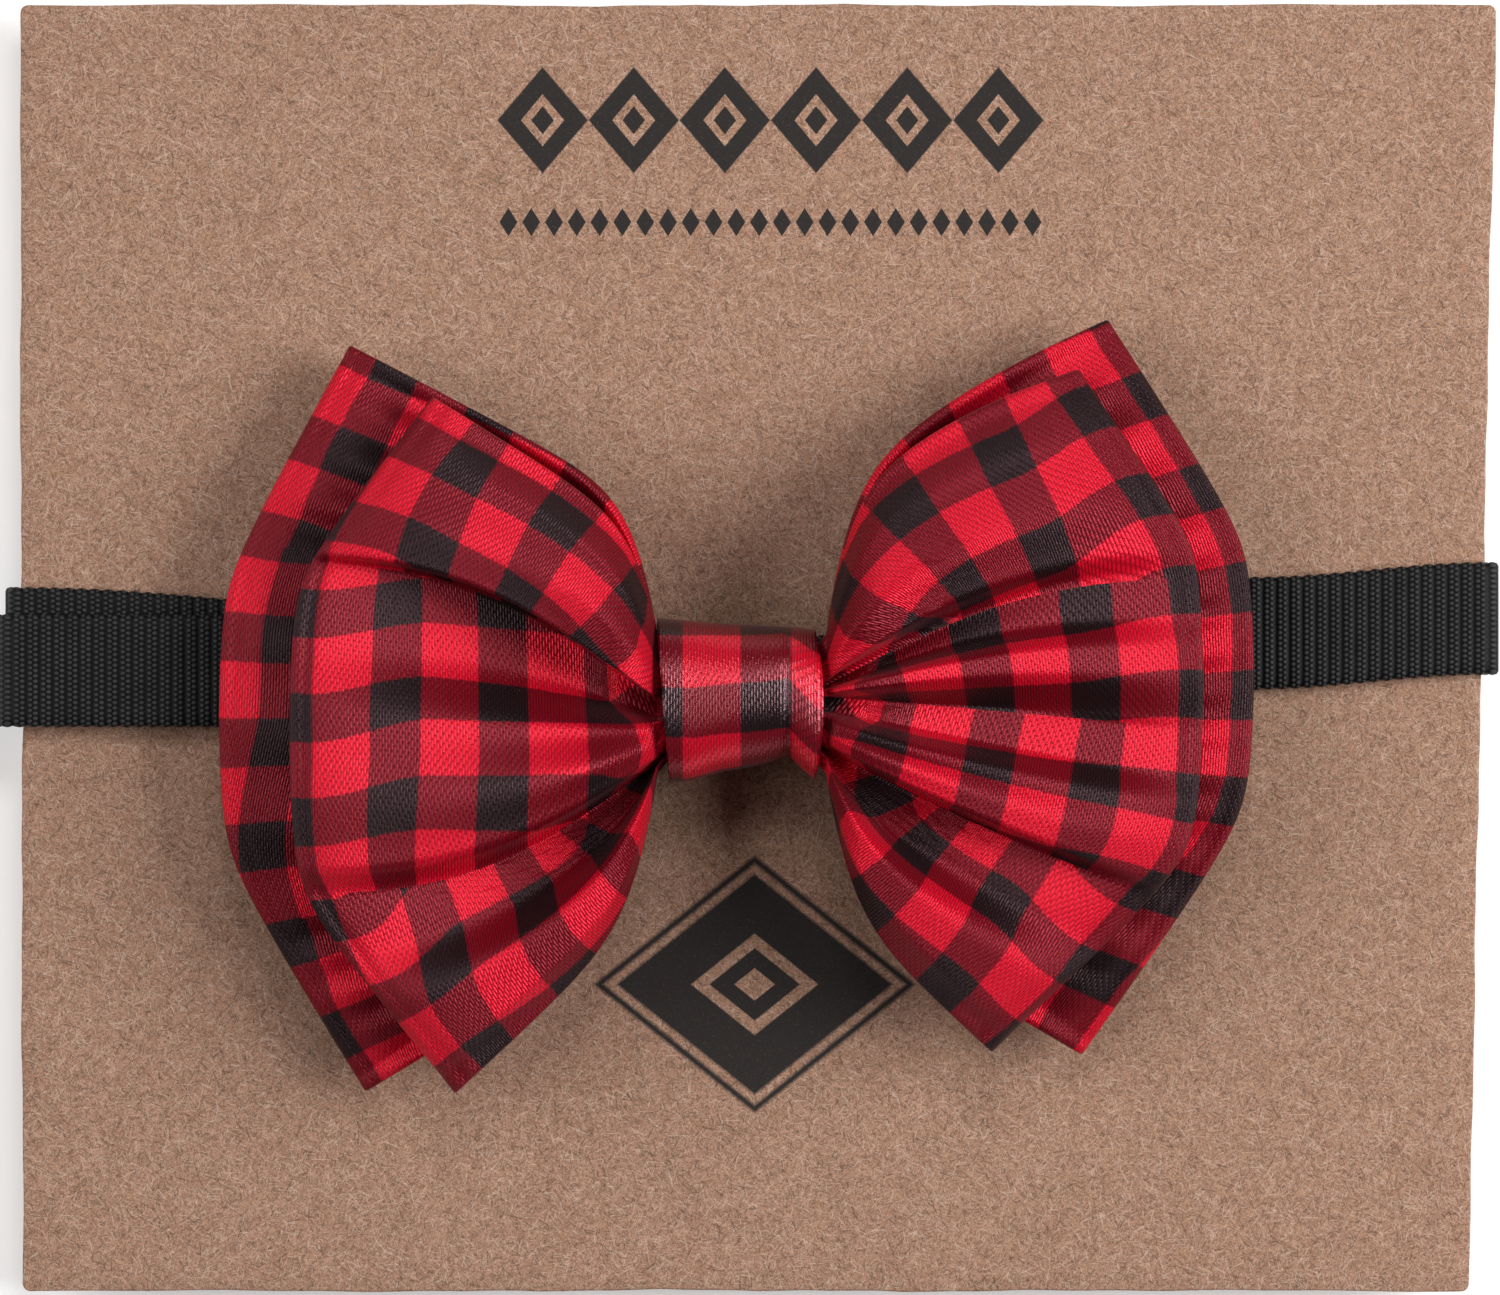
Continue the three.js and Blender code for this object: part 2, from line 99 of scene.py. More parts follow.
room = bpy.data.worlds.new("room")
room.use_nodes = True
feed(room.node_tree.nodes["Background"], {'Color': (1.0, 0.99, 0.98, 1), 'Strength': 0.08})
scene.world = room


def add_lamp(name, place, size, watts):
    """A square soft lamp that faces the middle of the card's face."""
    lamp = bpy.data.objects.new(name, bpy.data.lights.new(name, 'AREA'))
    lamp.data.size = size
    lamp.data.energy = watts
    lamp.location = place
    aim = camera.location.copy()
    aim.z = card_high.z
    lamp.rotation_euler = (lamp.location - aim).to_track_quat('Z', 'Y').to_euler()
    scene.collection.objects.link(lamp)


add_lamp("right_lamp", (0.55, 0.06, 0.44), 0.4, 5.5)
add_lamp("left_lamp", (-0.55, 0.08, 0.46), 0.5, 3.1)
add_lamp("top_lamp", (0.04, 0.36, 0.62), 0.16, 1.0)

table_half = 1.5
table_mesh = bpy.data.meshes.new("table")
table_mesh.from_pydata([(table_half * x, table_half * y, 0) for x, y in (
    (-1, -1), (1, -1), (1, 1), (-1, 1))], [], [(0, 1, 2, 3)])
table = bpy.data.objects.new("table", table_mesh)
scene.collection.objects.link(table)
table_paint, _, shader = new_material("table_paint")
feed(shader, {
    'Base Color': (0.93, 0.93, 0.93, 1), 'Roughness': 0.8, 'Emission Color': (1, 1, 1, 1),
    'Emission Strength': 0.2})
table_mesh.materials.append(table_paint)

# Display card: one sheet of stiff kraft board, die cut with a soft edge and a little narrower at
# its foot. A plain ornament is printed in black above and below the bow.
card_thickness = card_high.z - card_low.z
card_half_height = (card_high.y - card_low.y) / 2
card_top_half = 65.3 * mm
card_foot_half = 63.95 * mm
card_foot_shift = -1.1 * mm
card_corner = 0.7 * mm
card_soft_edge = 0.22 * mm
card_edge_power = 0.35
corner_points = 7
cap_shares = (0.02, 0.5, 0.97)
cut_inset = 0.12 * mm
cut_waves = ((0.05 * mm, 23, 0), (0.06 * mm, 9, 1), (0.04 * mm, 57, 2))
part_shift = card_high.x - card_top_half + card_foot_shift / 2
card_middle = (card_high.z + card_low.z) / 2


def card_side(side, rise):
    """X of the card's left (-1) or right (1) edge at the heights rise: straight from the wider
    head to the foot, which is moved by card_foot_shift."""
    share = 0.5 - rise / (2 * card_half_height)
    half = card_top_half + (card_foot_half - card_top_half) * share
    return part_shift + side * half + card_foot_shift * (share - 0.5)


def add_mesh(name, points, faces, uv=None, ends=()):
    """Puts points (n, 3), smooth four-cornered faces (m, 4) with their cloth coordinates
    (m, 4, 2) in millimetres, and flat ends, as lists of corners, into a new object."""
    mesh = bpy.data.meshes.new(name)
    corners = np.concatenate([faces.ravel(), *ends]).astype(np.int32)
    starts = np.cumsum([0] + [4] * len(faces) + [len(end) for end in ends])[:-1]
    mesh.vertices.add(len(points))
    mesh.vertices.foreach_set("co", np.asarray(points, np.float32).ravel())
    mesh.loops.add(len(corners))
    mesh.loops.foreach_set("vertex_index", corners)
    mesh.polygons.add(len(starts))
    mesh.polygons.foreach_set("loop_start", starts.astype(np.int32))
    mesh.polygons.foreach_set("use_smooth", np.arange(len(starts)) < len(faces))
    if uv is not None:
        all_uv = np.zeros((len(corners), 2), np.float32)
        all_uv[:faces.size] = uv.reshape(-1, 2)
        mesh.uv_layers.new(name="cloth_mm").data.foreach_set("uv", all_uv.ravel())
    mesh.update(calc_edges=True)
    mesh.validate()
    piece = bpy.data.objects.new(name, mesh)
    scene.collection.objects.link(piece)
    return piece


def grid_faces(rows, columns, rows_closed):
    """Faces of a grid of points numbered row by row: each joins the point to its neighbours in
    the next row and column. The last column joins the first, and so does the last row where the
    rows are closed."""
    row = np.arange(rows if rows_closed else rows - 1)[:, None]
    column = np.arange(columns)[None, :]
    next_row = (row + 1) % rows
    next_column = (column + 1) % columns
    corners = [row * columns + column, row * columns + next_column,
               next_row * columns + next_column, next_row * columns + column]
    return np.stack(np.broadcast_arrays(*corners), axis=-1).reshape(-1, 4)


def smooth_step(value, low, high):
    """0 below low, 1 above high, and 3t2 - 2t3 of the way t between them."""
    t = np.clip((value - low) / (high - low), 0, 1)
    return t * t * (3 - 2 * t)


def card_outline(side_points):
    """Points anticlockwise round the tapered card and the directions out of it: a quarter circle
    at each corner, even points between them, and a slight wander of the cut, the sum over its
    waves of size * sin(count * angle + start)."""
    corners = [(card_side(side, half * card_half_height), half * card_half_height)
               for side, half in ((1, -1), (1, 1), (-1, 1), (-1, -1))]
    turn = np.linspace(0, math.pi / 2, corner_points)
    share = np.linspace(0, 1, side_points)[1:-1, None]
    arcs = []
    for number, (x, y) in enumerate(corners):
        centre = np.array([x - math.copysign(card_corner, x), y - math.copysign(card_corner, y)])
        angle = turn + math.pi / 2 * (number - 1)
        arcs.append(centre + card_corner * np.stack([np.cos(angle), np.sin(angle)], -1))
    parts = []
    for arc, after in zip(arcs, arcs[1:] + arcs[:1]):
        parts.extend([arc, arc[-1] + (after[0] - arc[-1]) * share])
    outline = np.concatenate(parts)
    angle = np.arctan2(outline[:, 1], outline[:, 0] - part_shift)
    wander = sum(size * np.sin(count * angle + start) for size, count, start in cut_waves)
    outward = outline - np.array([part_shift, 0])
    outward /= np.linalg.norm(outward, axis=1)[:, None]
    return outline + (wander - cut_inset)[:, None] * outward, outward


def card_rings(turns, side_points):
    """Outlines of the card from the middle of its lower face out round its edge and back to the
    middle of its upper face. Round the edge, for a from 0 to 180 degrees, the inset is
    1 - sin(a), and the level is |cos(a)|^card_edge_power with the sign of -cos(a)."""
    outline, outward = card_outline(side_points)
    a = np.linspace(0, math.pi, turns)
    inset = card_soft_edge * (1 - np.sin(a))
    steep = np.sign(-np.cos(a)) * np.abs(np.cos(a)) ** card_edge_power
    level = card_middle + steep * card_thickness / 2
    flat = outline[None] - inset[:, None, None] * outward[None]
    rings = np.concatenate([flat, np.broadcast_to(level[:, None, None], flat.shape[:2] + (1,))], -1)
    bottom = np.array([part_shift, 0, card_low.z])
    top = np.array([part_shift, 0, card_high.z])
    shares = np.array(cap_shares)[:, None, None]
    lower = bottom + (rings[0] - bottom) * shares
    upper = top + (rings[-1] - top) * shares[::-1]
    return np.concatenate([lower, rings, upper])


def add_tube(name, rings, uv=None):
    """A closed skin over rings (rows, columns, 3), each ring round the piece, with both ends
    closed by a face that has as many corners as a ring."""
    rows, columns = rings.shape[:2]
    ends = [np.arange(columns)[::-1], (rows - 1) * columns + np.arange(columns)]
    return add_mesh(name, rings.reshape(-1, 3), grid_faces(rows, columns, False), uv, ends)


board = add_tube("card_board", card_rings(turns=9, side_points=60))
kraft, tree, shader = new_material("kraft_board")


def maths(operation, first, second=0.0, third=0.0, clamp=False):
    """The output of a Math node. At least one of its inputs is a socket."""
    inputs = (first, second, third)
    tree = next(value.id_data for value in inputs if isinstance(value, bpy.types.NodeSocket))
    made = node(tree, 'ShaderNodeMath', dict(enumerate(inputs)), operation=operation)
    made.use_clamp = clamp
    return made.outputs[0]


def mix_colour(share, first, second):
    """The colour output of a Mix node."""
    return node(share.id_data, 'ShaderNodeMix', {0: share, 6: first, 7: second},
                data_type='RGBA').outputs[2]


def noise(coordinates, scale, detail, roughness=0.5):
    """The value of a Noise Texture node."""
    return node(coordinates.id_data, 'ShaderNodeTexNoise', {
        'Vector': coordinates, 'Scale': scale, 'Detail': detail, 'Roughness': roughness,
    }).outputs['Fac']


def map_range(value, low, high, to_low=0.0, to_high=1.0):
    """The value of a Map Range node, which holds it between its two ends."""
    return node(value.id_data, 'ShaderNodeMapRange', {
        'Value': value, 'From Min': low, 'From Max': high, 'To Min': to_low, 'To Max': to_high,
    }).outputs[0]


def add_bump(shader, height, strength, distance):
    """Gives the shader a relief."""
    bump = node(shader.id_data, 'ShaderNodeBump', {
        'Height': height, 'Strength': strength, 'Distance': distance})
    feed(shader, {'Normal': bump.outputs[0]})


def scale_colour(colour, factor):
    """A colour times a factor."""
    return node(colour.id_data, 'ShaderNodeVectorMath', {0: colour, 'Scale': factor},
                operation='SCALE').outputs[0]


def strands(coordinates, angle, length, width, seed):
    """Noise stretched to length by width, lying at an angle."""
    turned = node(coordinates.id_data, 'ShaderNodeMapping', {
        'Vector': coordinates, 'Location': (seed, seed, seed), 'Rotation': (0, 0, angle),
        'Scale': (length, width, length)}, vector_type='TEXTURE')
    return node(coordinates.id_data, 'ShaderNodeTexNoise', {
        'Vector': turned.outputs[0], 'Scale': 1.0, 'Detail': 1.0, 'Distortion': 0.6}).outputs['Fac']


def fibres(coordinates, angle, length, width, seed):
    """A mask of short fibres that lie about one way: only the highest spots of the strands."""
    return map_range(strands(coordinates, angle, length, width, seed), 0.66, 0.7)


place = node(tree, 'ShaderNodeTexCoord').outputs['Object']
grain = noise(place, 4800.0, 3.0, 0.7)
cloud = noise(place, 380.0, 4.0, 0.65)
pulp = mix_colour(cloud, (0.285, 0.156, 0.1, 1), (0.365, 0.208, 0.142, 1))
felt = grain
for number in range(4):
    felt = maths('ADD', felt, strands(
        place, 0.4 + 0.8 * number, 0.5 * mm, 0.09 * mm, 0.07 * (1 + number)))
colour = scale_colour(pulp, map_range(felt, 1.9, 3.1, 0.45, 1.55))
fibre_turns = 7
for number in range(fibre_turns):
    turn = math.pi * number / fibre_turns + 0.2
    dark = fibres(place, turn, 1.3 * mm, 0.14 * mm, 0.11 * (1 + number))
    pale = fibres(place, turn + 0.25, 1.4 * mm, 0.12 * mm, 0.31 * (1 + number))
    colour = mix_colour(maths('MULTIPLY', dark, 0.6), colour, (0.115, 0.062, 0.04, 1))
    colour = mix_colour(maths('MULTIPLY', pale, 0.42), colour, (0.60, 0.44, 0.35, 1))

# Printed ornament. A lozenge is given by half its width and half its height.
lozenge_pitch = 8.05 * mm
large_lozenge = (4.0 * mm, 4.7 * mm)
bare_lozenge = (1.9 * mm, 2.3 * mm)
heart_lozenge = (1.0 * mm, 1.25 * mm)
frieze_left = -21.9 * mm
frieze_width = 48.3 * mm
frieze_level = 46.6 * mm
rule_level = frieze_level - 9.0 * mm
rule_pitch = lozenge_pitch / 4
rule_lozenge = (0.8 * mm, 1.25 * mm)
motif_x = 0.85 * mm
motif_level = -29.7 * mm
motif_half_widths = (14.2 * mm, 13.3 * mm, 12.2 * mm, 5.6 * mm, 4.0 * mm, 1.8 * mm)
motif_shape = 0.8
print_softness = 0.02


def printed_ornament(place):
    """The ink mask: a row of six lozenges, each with a lozenge left bare in it and a small one
    inside that, a rule of small lozenges under them, and below the bow nested lozenges that are
    inked and bare by turns. A lozenge is |x| / a + |y| / b < 1."""
    apart = node(place.id_data, 'ShaderNodeSeparateXYZ', {0: place})
    x, y = apart.outputs[0], apart.outputs[1]

    def lozenge(across, up, half_sizes):
        reach = maths('ADD', *(
            maths('DIVIDE', maths('ABSOLUTE', away), half)
            for away, half in zip((across, up), half_sizes)))
        return map_range(reach, 1 + print_softness, 1 - print_softness)

    def less(mask, hole):
        return maths('SUBTRACT', mask, hole, clamp=True)

    def both(first, second):
        return maths('MAXIMUM', first, second)

    def row(level, pitch, half_sizes):
        from_left = maths('SUBTRACT', x, frieze_left)
        within = maths('SUBTRACT', maths('FLOORED_MODULO', from_left, pitch), pitch / 2)
        up = maths('SUBTRACT', y, level)
        inside = maths('MULTIPLY', maths('GREATER_THAN', from_left, 0.0),
                       maths('LESS_THAN', from_left, frieze_width))
        return within, up, inside, lozenge(within, up, half_sizes)

    within, up, inside, large = row(frieze_level, lozenge_pitch, large_lozenge)
    bare = lozenge(within, up, bare_lozenge)
    heart = lozenge(within, up, heart_lozenge)
    frieze = maths('MULTIPLY', both(less(large, bare), heart), inside)
    _, _, inside, small = row(rule_level, rule_pitch, rule_lozenge)
    rule = maths('MULTIPLY', small, inside)

    across = maths('SUBTRACT', x, motif_x)
    up = maths('SUBTRACT', y, motif_level)
    motif = 0.0
    for number, half in enumerate(motif_half_widths):
        nested = lozenge(across, up, (half, motif_shape * half))
        motif = less(motif, nested) if number % 2 else both(motif, nested)
    return both(both(frieze, rule), motif)


ink = maths('MULTIPLY', printed_ornament(place), map_range(grain, 0.3, 0.42, 0.82, 0.98))
feed(shader, {
    'Base Color': mix_colour(ink, colour, (0.014, 0.013, 0.013, 1)),
    'Roughness': map_range(ink, 0.0, 1.0, 0.92, 0.62), 'Specular IOR Level': 0.2})
add_bump(shader, maths('ADD', maths('MULTIPLY', cloud, 0.6), grain), 0.5, 0.05 * mm)
board.data.materials.append(kraft)
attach(board, "root")
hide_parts("display_card")

# Clasp: closed black moulded plastic under the card, with a bar at each end that the webbing
# turns round. It is hidden in the photograph, so its plain moulded form is the CAD's own.
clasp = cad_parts["clasp"]
plastic, tree, shader = new_material("moulded_plastic")
place = node(tree, 'ShaderNodeTexCoord').outputs['Object']
spark = noise(place, 2400.0, 2.0)
feed(shader, {
    'Base Color': mix_colour(spark, (0.009, 0.009, 0.01, 1), (0.018, 0.018, 0.019, 1)),
    'Roughness': map_range(spark, 0.0, 1.0, 0.34, 0.52)})
add_bump(shader, spark, 0.4, 0.02 * mm)
clasp.data.materials.clear()
clasp.data.materials.append(plastic)

# Strap: one length of black ribbed nylon webbing. It starts at the clasp's right bar, goes round
# the card's right edge, through the knot, round the left edge, through the left bar and back
# round the left edge to its tail under the bow.
web_width = 10.0 * mm
web_thickness = 1.0 * mm
clearance = 0.3 * mm
web_offset = clearance + web_thickness / 2
layer_step = web_thickness + clearance
rib_pitch = 1.17 * mm
rib_depth = 0.28 * mm
rib_power = 0.4
steps_per_rib = 6
selvedge_swell = 0.16 * mm
selvedge_rim = 0.35 * mm
clasp_low, clasp_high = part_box("clasp")
clasp_half = (clasp_high.x - clasp_low.x) / 2
clasp_rise = (clasp_high.y + clasp_low.y) / 2
bar_inner = clasp_half - 2.0 * mm
bar_thickness = 1.6 * mm
bar_low = (clasp_high.z - bar_thickness) / 2
bar_high = bar_low + bar_thickness
knot_low, knot_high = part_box("knot_band")
bow_x = (knot_low.x + knot_high.x) / 2
bow_y = (knot_low.y + knot_high.y) / 2
knot_half = (knot_high.x - knot_low.x) / 2
knot_wall = 1.0 * mm
waist_reach = knot_half + clearance
web_at_knot = knot_low.z + knot_wall + web_offset
rise_at_knot = bow_y + (knot_high.y - knot_low.y) / 2 - knot_wall - web_width / 2 - 2 * clearance
back_bow_width = 90.8 * mm


def strap_stations():
    """The middle line as rows (x, z, rise): quarter circles round the bars and the card's edges,
    and between them runs that are straight from the side and whose rise eases by 3t2 - 2t3 from
    one height on the card to the next."""
    rows = []

    def arc(x, z, radius, start, end, rise, steps=8):
        angle = np.radians(np.linspace(start, end, steps))
        rows.extend(np.stack([x + radius * np.cos(angle), z + radius * np.sin(angle),
                              np.full(steps, rise)], -1))

    def run(x, z, rise, steps=24):
        share = np.linspace(0, 1, steps + 1)[1:]
        shares = np.stack([share, share, smooth_step(share, 0, 1)], -1)
        rows.extend(rows[-1] + (np.array([x, z, rise]) - rows[-1]) * shares)

    def wrap(x, facing, levels, radius, rise, upwards):
        """Half a turn round an edge that faces right (1) or left (-1)."""
        outward, down = (0, -90) if facing > 0 else (180, 270)
        first, last = levels if upwards else levels[::-1]
        turn = (down, outward, 90) if upwards else (90, outward, down)
        arc(x, first, radius, turn[0], turn[1], rise)
        arc(x, last, radius, turn[1], turn[2], rise)

    sewn_end = 9.0 * mm
    tail_length = 32.0 * mm
    right_rise, wing_rise, left_rise, tail_rise = 2.6 * mm, 1.3 * mm, 0.4 * mm, -2.0 * mm
    high_run = bar_high + web_offset
    low_run = bar_low - web_offset
    right_edge = card_side(1, right_rise)
    left_edge = card_side(-1, left_rise)
    front_level = card_high.z + web_offset
    waist_right = bow_x + waist_reach
    waist_left = bow_x - waist_reach
    wing_x = bow_x + back_bow_width / 2
    wing_share = (wing_x - waist_right) / (right_edge - waist_right)
    tail_share = tail_length / (waist_left - left_edge)
    tail_level = front_level + (web_at_knot - front_level) * tail_share + layer_step
    outer = web_offset + layer_step
    card_levels = (card_low.z, card_high.z)
    bar_levels = (bar_low, bar_high)

    rows.append(np.array([part_shift + clasp_half + sewn_end, low_run, clasp_rise]))
    run(part_shift + bar_inner, low_run, clasp_rise, 6)
    wrap(part_shift + bar_inner, -1, bar_levels, web_offset, clasp_rise, True)
    run(part_shift + clasp_half + clearance, high_run, clasp_rise, 2)
    run(right_edge, card_low.z - web_offset, right_rise)
    wrap(right_edge, 1, card_levels, web_offset, right_rise, True)
    run(wing_x, web_at_knot + (front_level - web_at_knot) * wing_share, wing_rise)
    run(waist_right, web_at_knot, rise_at_knot)
    run(waist_left, web_at_knot, rise_at_knot, 8)
    run(left_edge, front_level, left_rise)
    wrap(left_edge, -1, card_levels, web_offset, left_rise, False)
    run(part_shift - clasp_half - clearance, high_run, clasp_rise)
    wrap(part_shift - bar_inner, 1, bar_levels, web_offset, clasp_rise, False)
    run(part_shift - clasp_half - clearance, low_run, clasp_rise, 2)
    run(left_edge, card_low.z - outer, tail_rise)
    wrap(left_edge, -1, card_levels, outer, tail_rise, True)
    run(left_edge + tail_length, tail_level, tail_rise)
    return np.array(rows)


def even_stations(stations, pitch):
    """The same line with its stations evenly spaced by about the pitch, and how far each is
    along the line."""
    along = np.append(0, np.cumsum(np.linalg.norm(np.diff(stations, axis=0), axis=1)))
    count = int(round(along[-1] / pitch)) + 1
    even = np.linspace(0, along[-1], count)
    return np.stack([np.interp(even, along, stations[:, axis]) for axis in range(3)], -1), even


def webbing_rings(stations, along, across_steps):
    """Rings round the webbing and how far each point is across it. Each rib is a rounded ridge
    |cos(pi * along / rib_pitch)|^rib_power on both faces, and the selvedge, a half ellipse, swells
    with each rib."""
    ahead = np.gradient(stations[:, :2], axis=0)
    ahead /= np.linalg.norm(ahead, axis=1)[:, None]
    face = np.stack([ahead[:, 1], -ahead[:, 0]], -1)
    phase = math.pi * along / rib_pitch
    ridge = np.abs(np.cos(phase)) ** rib_power
    half_thick = web_thickness / 2 - rib_depth * (1 - ridge)
    half_wide = web_width / 2 - selvedge_swell * (1 - np.abs(np.cos(phase)))
    half_flat = (half_wide - selvedge_rim)[:, None]
    across = np.linspace(-1, 1, across_steps)
    edge_angle = np.linspace(-math.pi / 2, math.pi / 2, 5)[1:-1]
    rings = []
    for position, height in ((across[::-1], -1), (across, 1)):
        wide = position[None] * half_flat
        rings.append((wide, np.full_like(wide, height) * half_thick[:, None]))
        out = np.sign(position[-1])
        turned = edge_angle if height < 0 else edge_angle[::-1]
        wide = out * (half_flat + selvedge_rim * np.cos(turned)[None])
        rings.append((wide, half_thick[:, None] * np.sin(turned)[None]))
    wide = np.concatenate([ring[0] for ring in rings], 1)
    tall = np.concatenate([ring[1] for ring in rings], 1)
    x, z = (stations[:, axis, None] + tall * face[:, axis, None] for axis in (0, 1))
    return np.stack([x, stations[:, 2, None] + wide, z], -1), wide


def corner_uv(first, second):
    """Cloth coordinates at the corners of each face, from those along the first and the second
    side of each strip of faces. The sides have one row more than the faces."""
    return np.stack([first[:-1], second[:-1], second[1:], first[1:]], 2).reshape(-1, 4, 2)


stations, along = even_stations(strap_stations(), rib_pitch / steps_per_rib)
rings, wide = webbing_rings(stations, along, across_steps=11)
cloth_grid = np.stack([np.broadcast_to(along[:, None], wide.shape), wide], -1) / mm
webbing = add_tube("webbing", rings, corner_uv(cloth_grid, np.roll(cloth_grid, -1, 1)))
nylon, tree, shader = new_material("ribbed_nylon")
cloth = node(tree, 'ShaderNodeUVMap', uv_map="cloth_mm").outputs[0]
apart = node(tree, 'ShaderNodeSeparateXYZ', {0: cloth})

# The yarn shows as two rows of beads on each rib, half a bead apart. A bead's height is
# sqrt(1 - up^2 - across^2). These lengths are millimetres, as the cloth's coordinates are.
rib = rib_pitch / mm
bead_pitch = 0.47
half_bead_width = 0.25
from_start = maths('FLOORED_MODULO', maths('ADD', apart.outputs[0], rib / 2), rib)
from_rib = maths('SUBTRACT', from_start, rib / 2)
half_bead = maths('MULTIPLY', maths('GREATER_THAN', from_rib, 0.0), 0.5)
beads_up = maths('DIVIDE', apart.outputs[1], bead_pitch)
bead_place = maths('FRACT', maths('ADD', beads_up, half_bead))
up_bead = maths('MULTIPLY_ADD', bead_place, 2.0, -1.0)
from_middle = maths('SUBTRACT', maths('ABSOLUTE', from_rib), half_bead_width)
across_bead = maths('DIVIDE', from_middle, half_bead_width)
left_over = maths('SUBTRACT', 1.0, maths('MULTIPLY', up_bead, up_bead))
bead = maths('POWER', maths(
    'SUBTRACT', left_over, maths('MULTIPLY', across_bead, across_bead), clamp=True), 0.5)
# Painted light and shade: the colour below is darkened between the beads and lightened on their
# tops by lit_bead, and varies at random with the yarn noise.
lit_bead = maths('POWER', bead, 1.4)
yarn = noise(cloth, 3.5, 3.0)
fuzz = noise(cloth, 0.35, 2.0)
bead_shade_and_yarn_tone = maths('MULTIPLY', lit_bead, maths('ADD', yarn, fuzz))
feed(shader, {
    'Base Color': mix_colour(bead_shade_and_yarn_tone, (0.0004, 0.0004, 0.0005, 1), (0.036, 0.036, 0.037, 1)),
    'Roughness': map_range(yarn, 0.0, 1.0, 0.36, 0.66), 'Specular IOR Level': 0.16})
add_bump(shader, bead, 0.9, 0.2 * mm)
webbing.data.materials.append(nylon)
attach(webbing, "root")
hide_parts("collar_strap")

# Back bow: a band of doubled gingham satin, closed to a flat loop, pressed at both folds and
# gathered at its waist under the knot. It is the wider of the two bows and lies flatter.
strips_across = 144
steps_along = 46
cloth_wall = 0.55 * mm
waist_thickness = 4.4 * mm
waist_half = (knot_high.y - knot_low.y) / 2 - knot_wall - 2 * clearance
crease_thickness = 3.2 * mm
tip_droop = 2.4 * mm
shoulder_length = 2.0 * mm
band_width = 71.2 * mm
waist_pinch = 0.6
waist_steps = 8
rim_swell = 0.12 * mm
least_inner_half = 0.05 * mm
fold_samples = 400

# Shares of the way from the knot to the fold: where the cloth has settled to its thickness, where
# its round section ends, where the edge line begins and is full, and likewise for the threads
# that follow the fold.
settled_share = 0.3
round_share = 0.16
edge_line_shares = (0.1, 0.35)
follow_fold_shares = (0.62, 0.96)
# The roundness at the knot, how fast the lobes swell beside it, the powers of the outline's bulge
# and of the closing at the fold, and how softly a crease ends.
knot_roundness = 0.9
swell_rate = 14
bulge_power = 2.5
closing_power = 12
crease_end_softness = 0.06
# Fine lines pressed into the cloth: depth, distance from the fold or from the edge, and width.
fold_line = (0.28 * mm, 1.2 * mm, 0.36 * mm)
edge_line = (0.24 * mm, 1.4 * mm, 0.42 * mm)
# A lobe's wave as a share of the waist's thickness, and the heights of gathers and ripple.
wave_height = 0.12
gather_height = 0.07 * mm
ripple_height = 0.22 * mm
back_waist = web_at_knot + web_offset + waist_thickness / 2
front_waist = back_waist + waist_thickness + clearance

wing_columns = ("outline", "creases", "rows_from", "columns_from", "fold_row")
outline_columns = ("reach", "widest", "turns", "top_x", "top_y", "bottom_x", "bottom_y")
crease_columns = ("knot", "fold", "shoulder", "sweep", "depth", "runs", "lean", "form")


def bow_facts(left, right, **facts):
    """One bow as a dictionary of its facts, with its wings under -1 and 1. The parts of a wing,
    its outline and its creases get their column names."""
    for side, parts in ((-1, left), (1, right)):
        wing = dict(zip(wing_columns, parts))
        wing["outline"] = dict(zip(outline_columns, wing["outline"]))
        wing["creases"] = [dict(zip(crease_columns, row)) for row in wing["creases"]]
        facts[side] = wing
    return facts


# Outline: shares of the bow's half width and half height. Creases from the top edge down: place
# at the knot and on the fold, share of the climb made beside the knot, bulge of the line, depth
# of the crease and the share of the way where it has flattened out, then the lobe below it: its
# lean towards the foot, and its form as places across it with their heights. Depths and heights
# are shares of the waist's thickness. Then come the first dark row and column at five levels
# down the wing, and the row at the fold, in millimetres of cloth. Nest is the share of a lobe's
# rise that the lower panel follows, and pleats are the heights of those on both panels.
stripe_levels = (0.1, 0.3, 0.5, 0.7, 0.9)
back_bow = bow_facts(
    width=back_bow_width, height=64.8 * mm, fold_level=card_high.z + 6.9 * mm,
    waist_level=back_waist, nest=0.0, pleats=(0.7 * mm, 0.9 * mm),
    left=(
        (1.01, -0.04, 0.36, 0.76, 0.97, 0.73, 1.05), [
            (1.0, 1.0, 0.44, 0.0, 0.0, 1.28, 0.0, ((0.5, 0.35),)),
            (0.1, 0.48, 0.0, 0.15, -0.1, 1.28, 0.0, ((0.5, 0.35),)),
            (-0.7, -0.56, 0.0, 0.15, -0.1, 1.28, 0.0, ((0.5, 0.35),)),
            (-1.0, -1.0, 0.44, 0.0, 0.0, 1.28, 0.0, ()),
        ], (-0.3, -0.35, -0.4, -0.3, -0.2), (5.6, 6.3, 6.3, 2.4, 0.2), -0.35),
    right=(
        (0.99, 0.08, 0.36, 0.71, 1.04, 0.66, 0.95), [
            (1.0, 1.0, 0.46, 0.04, 0.0, 1.28, 0.0, ((0.5, 0.35),)),
            (0.3, 0.42, 0.0, 0.1, -0.1, 1.28, 0.0, ((0.5, 0.3),)),
            (-0.1, -0.05, 0.0, 0.0, -0.1, 1.28, 0.0, ((0.5, 0.3),)),
            (-0.6, -0.5, 0.0, 0.06, -0.1, 1.28, 0.0, ((0.5, 0.35),)),
            (-1.0, -1.0, 0.46, 0.0, 0.0, 1.28, 0.0, ()),
        ], (-2.2, -2.1, -2.0, -1.9, -1.8), (0.4, 0.2, 0.2, 0.6, 3.6), -2.0))


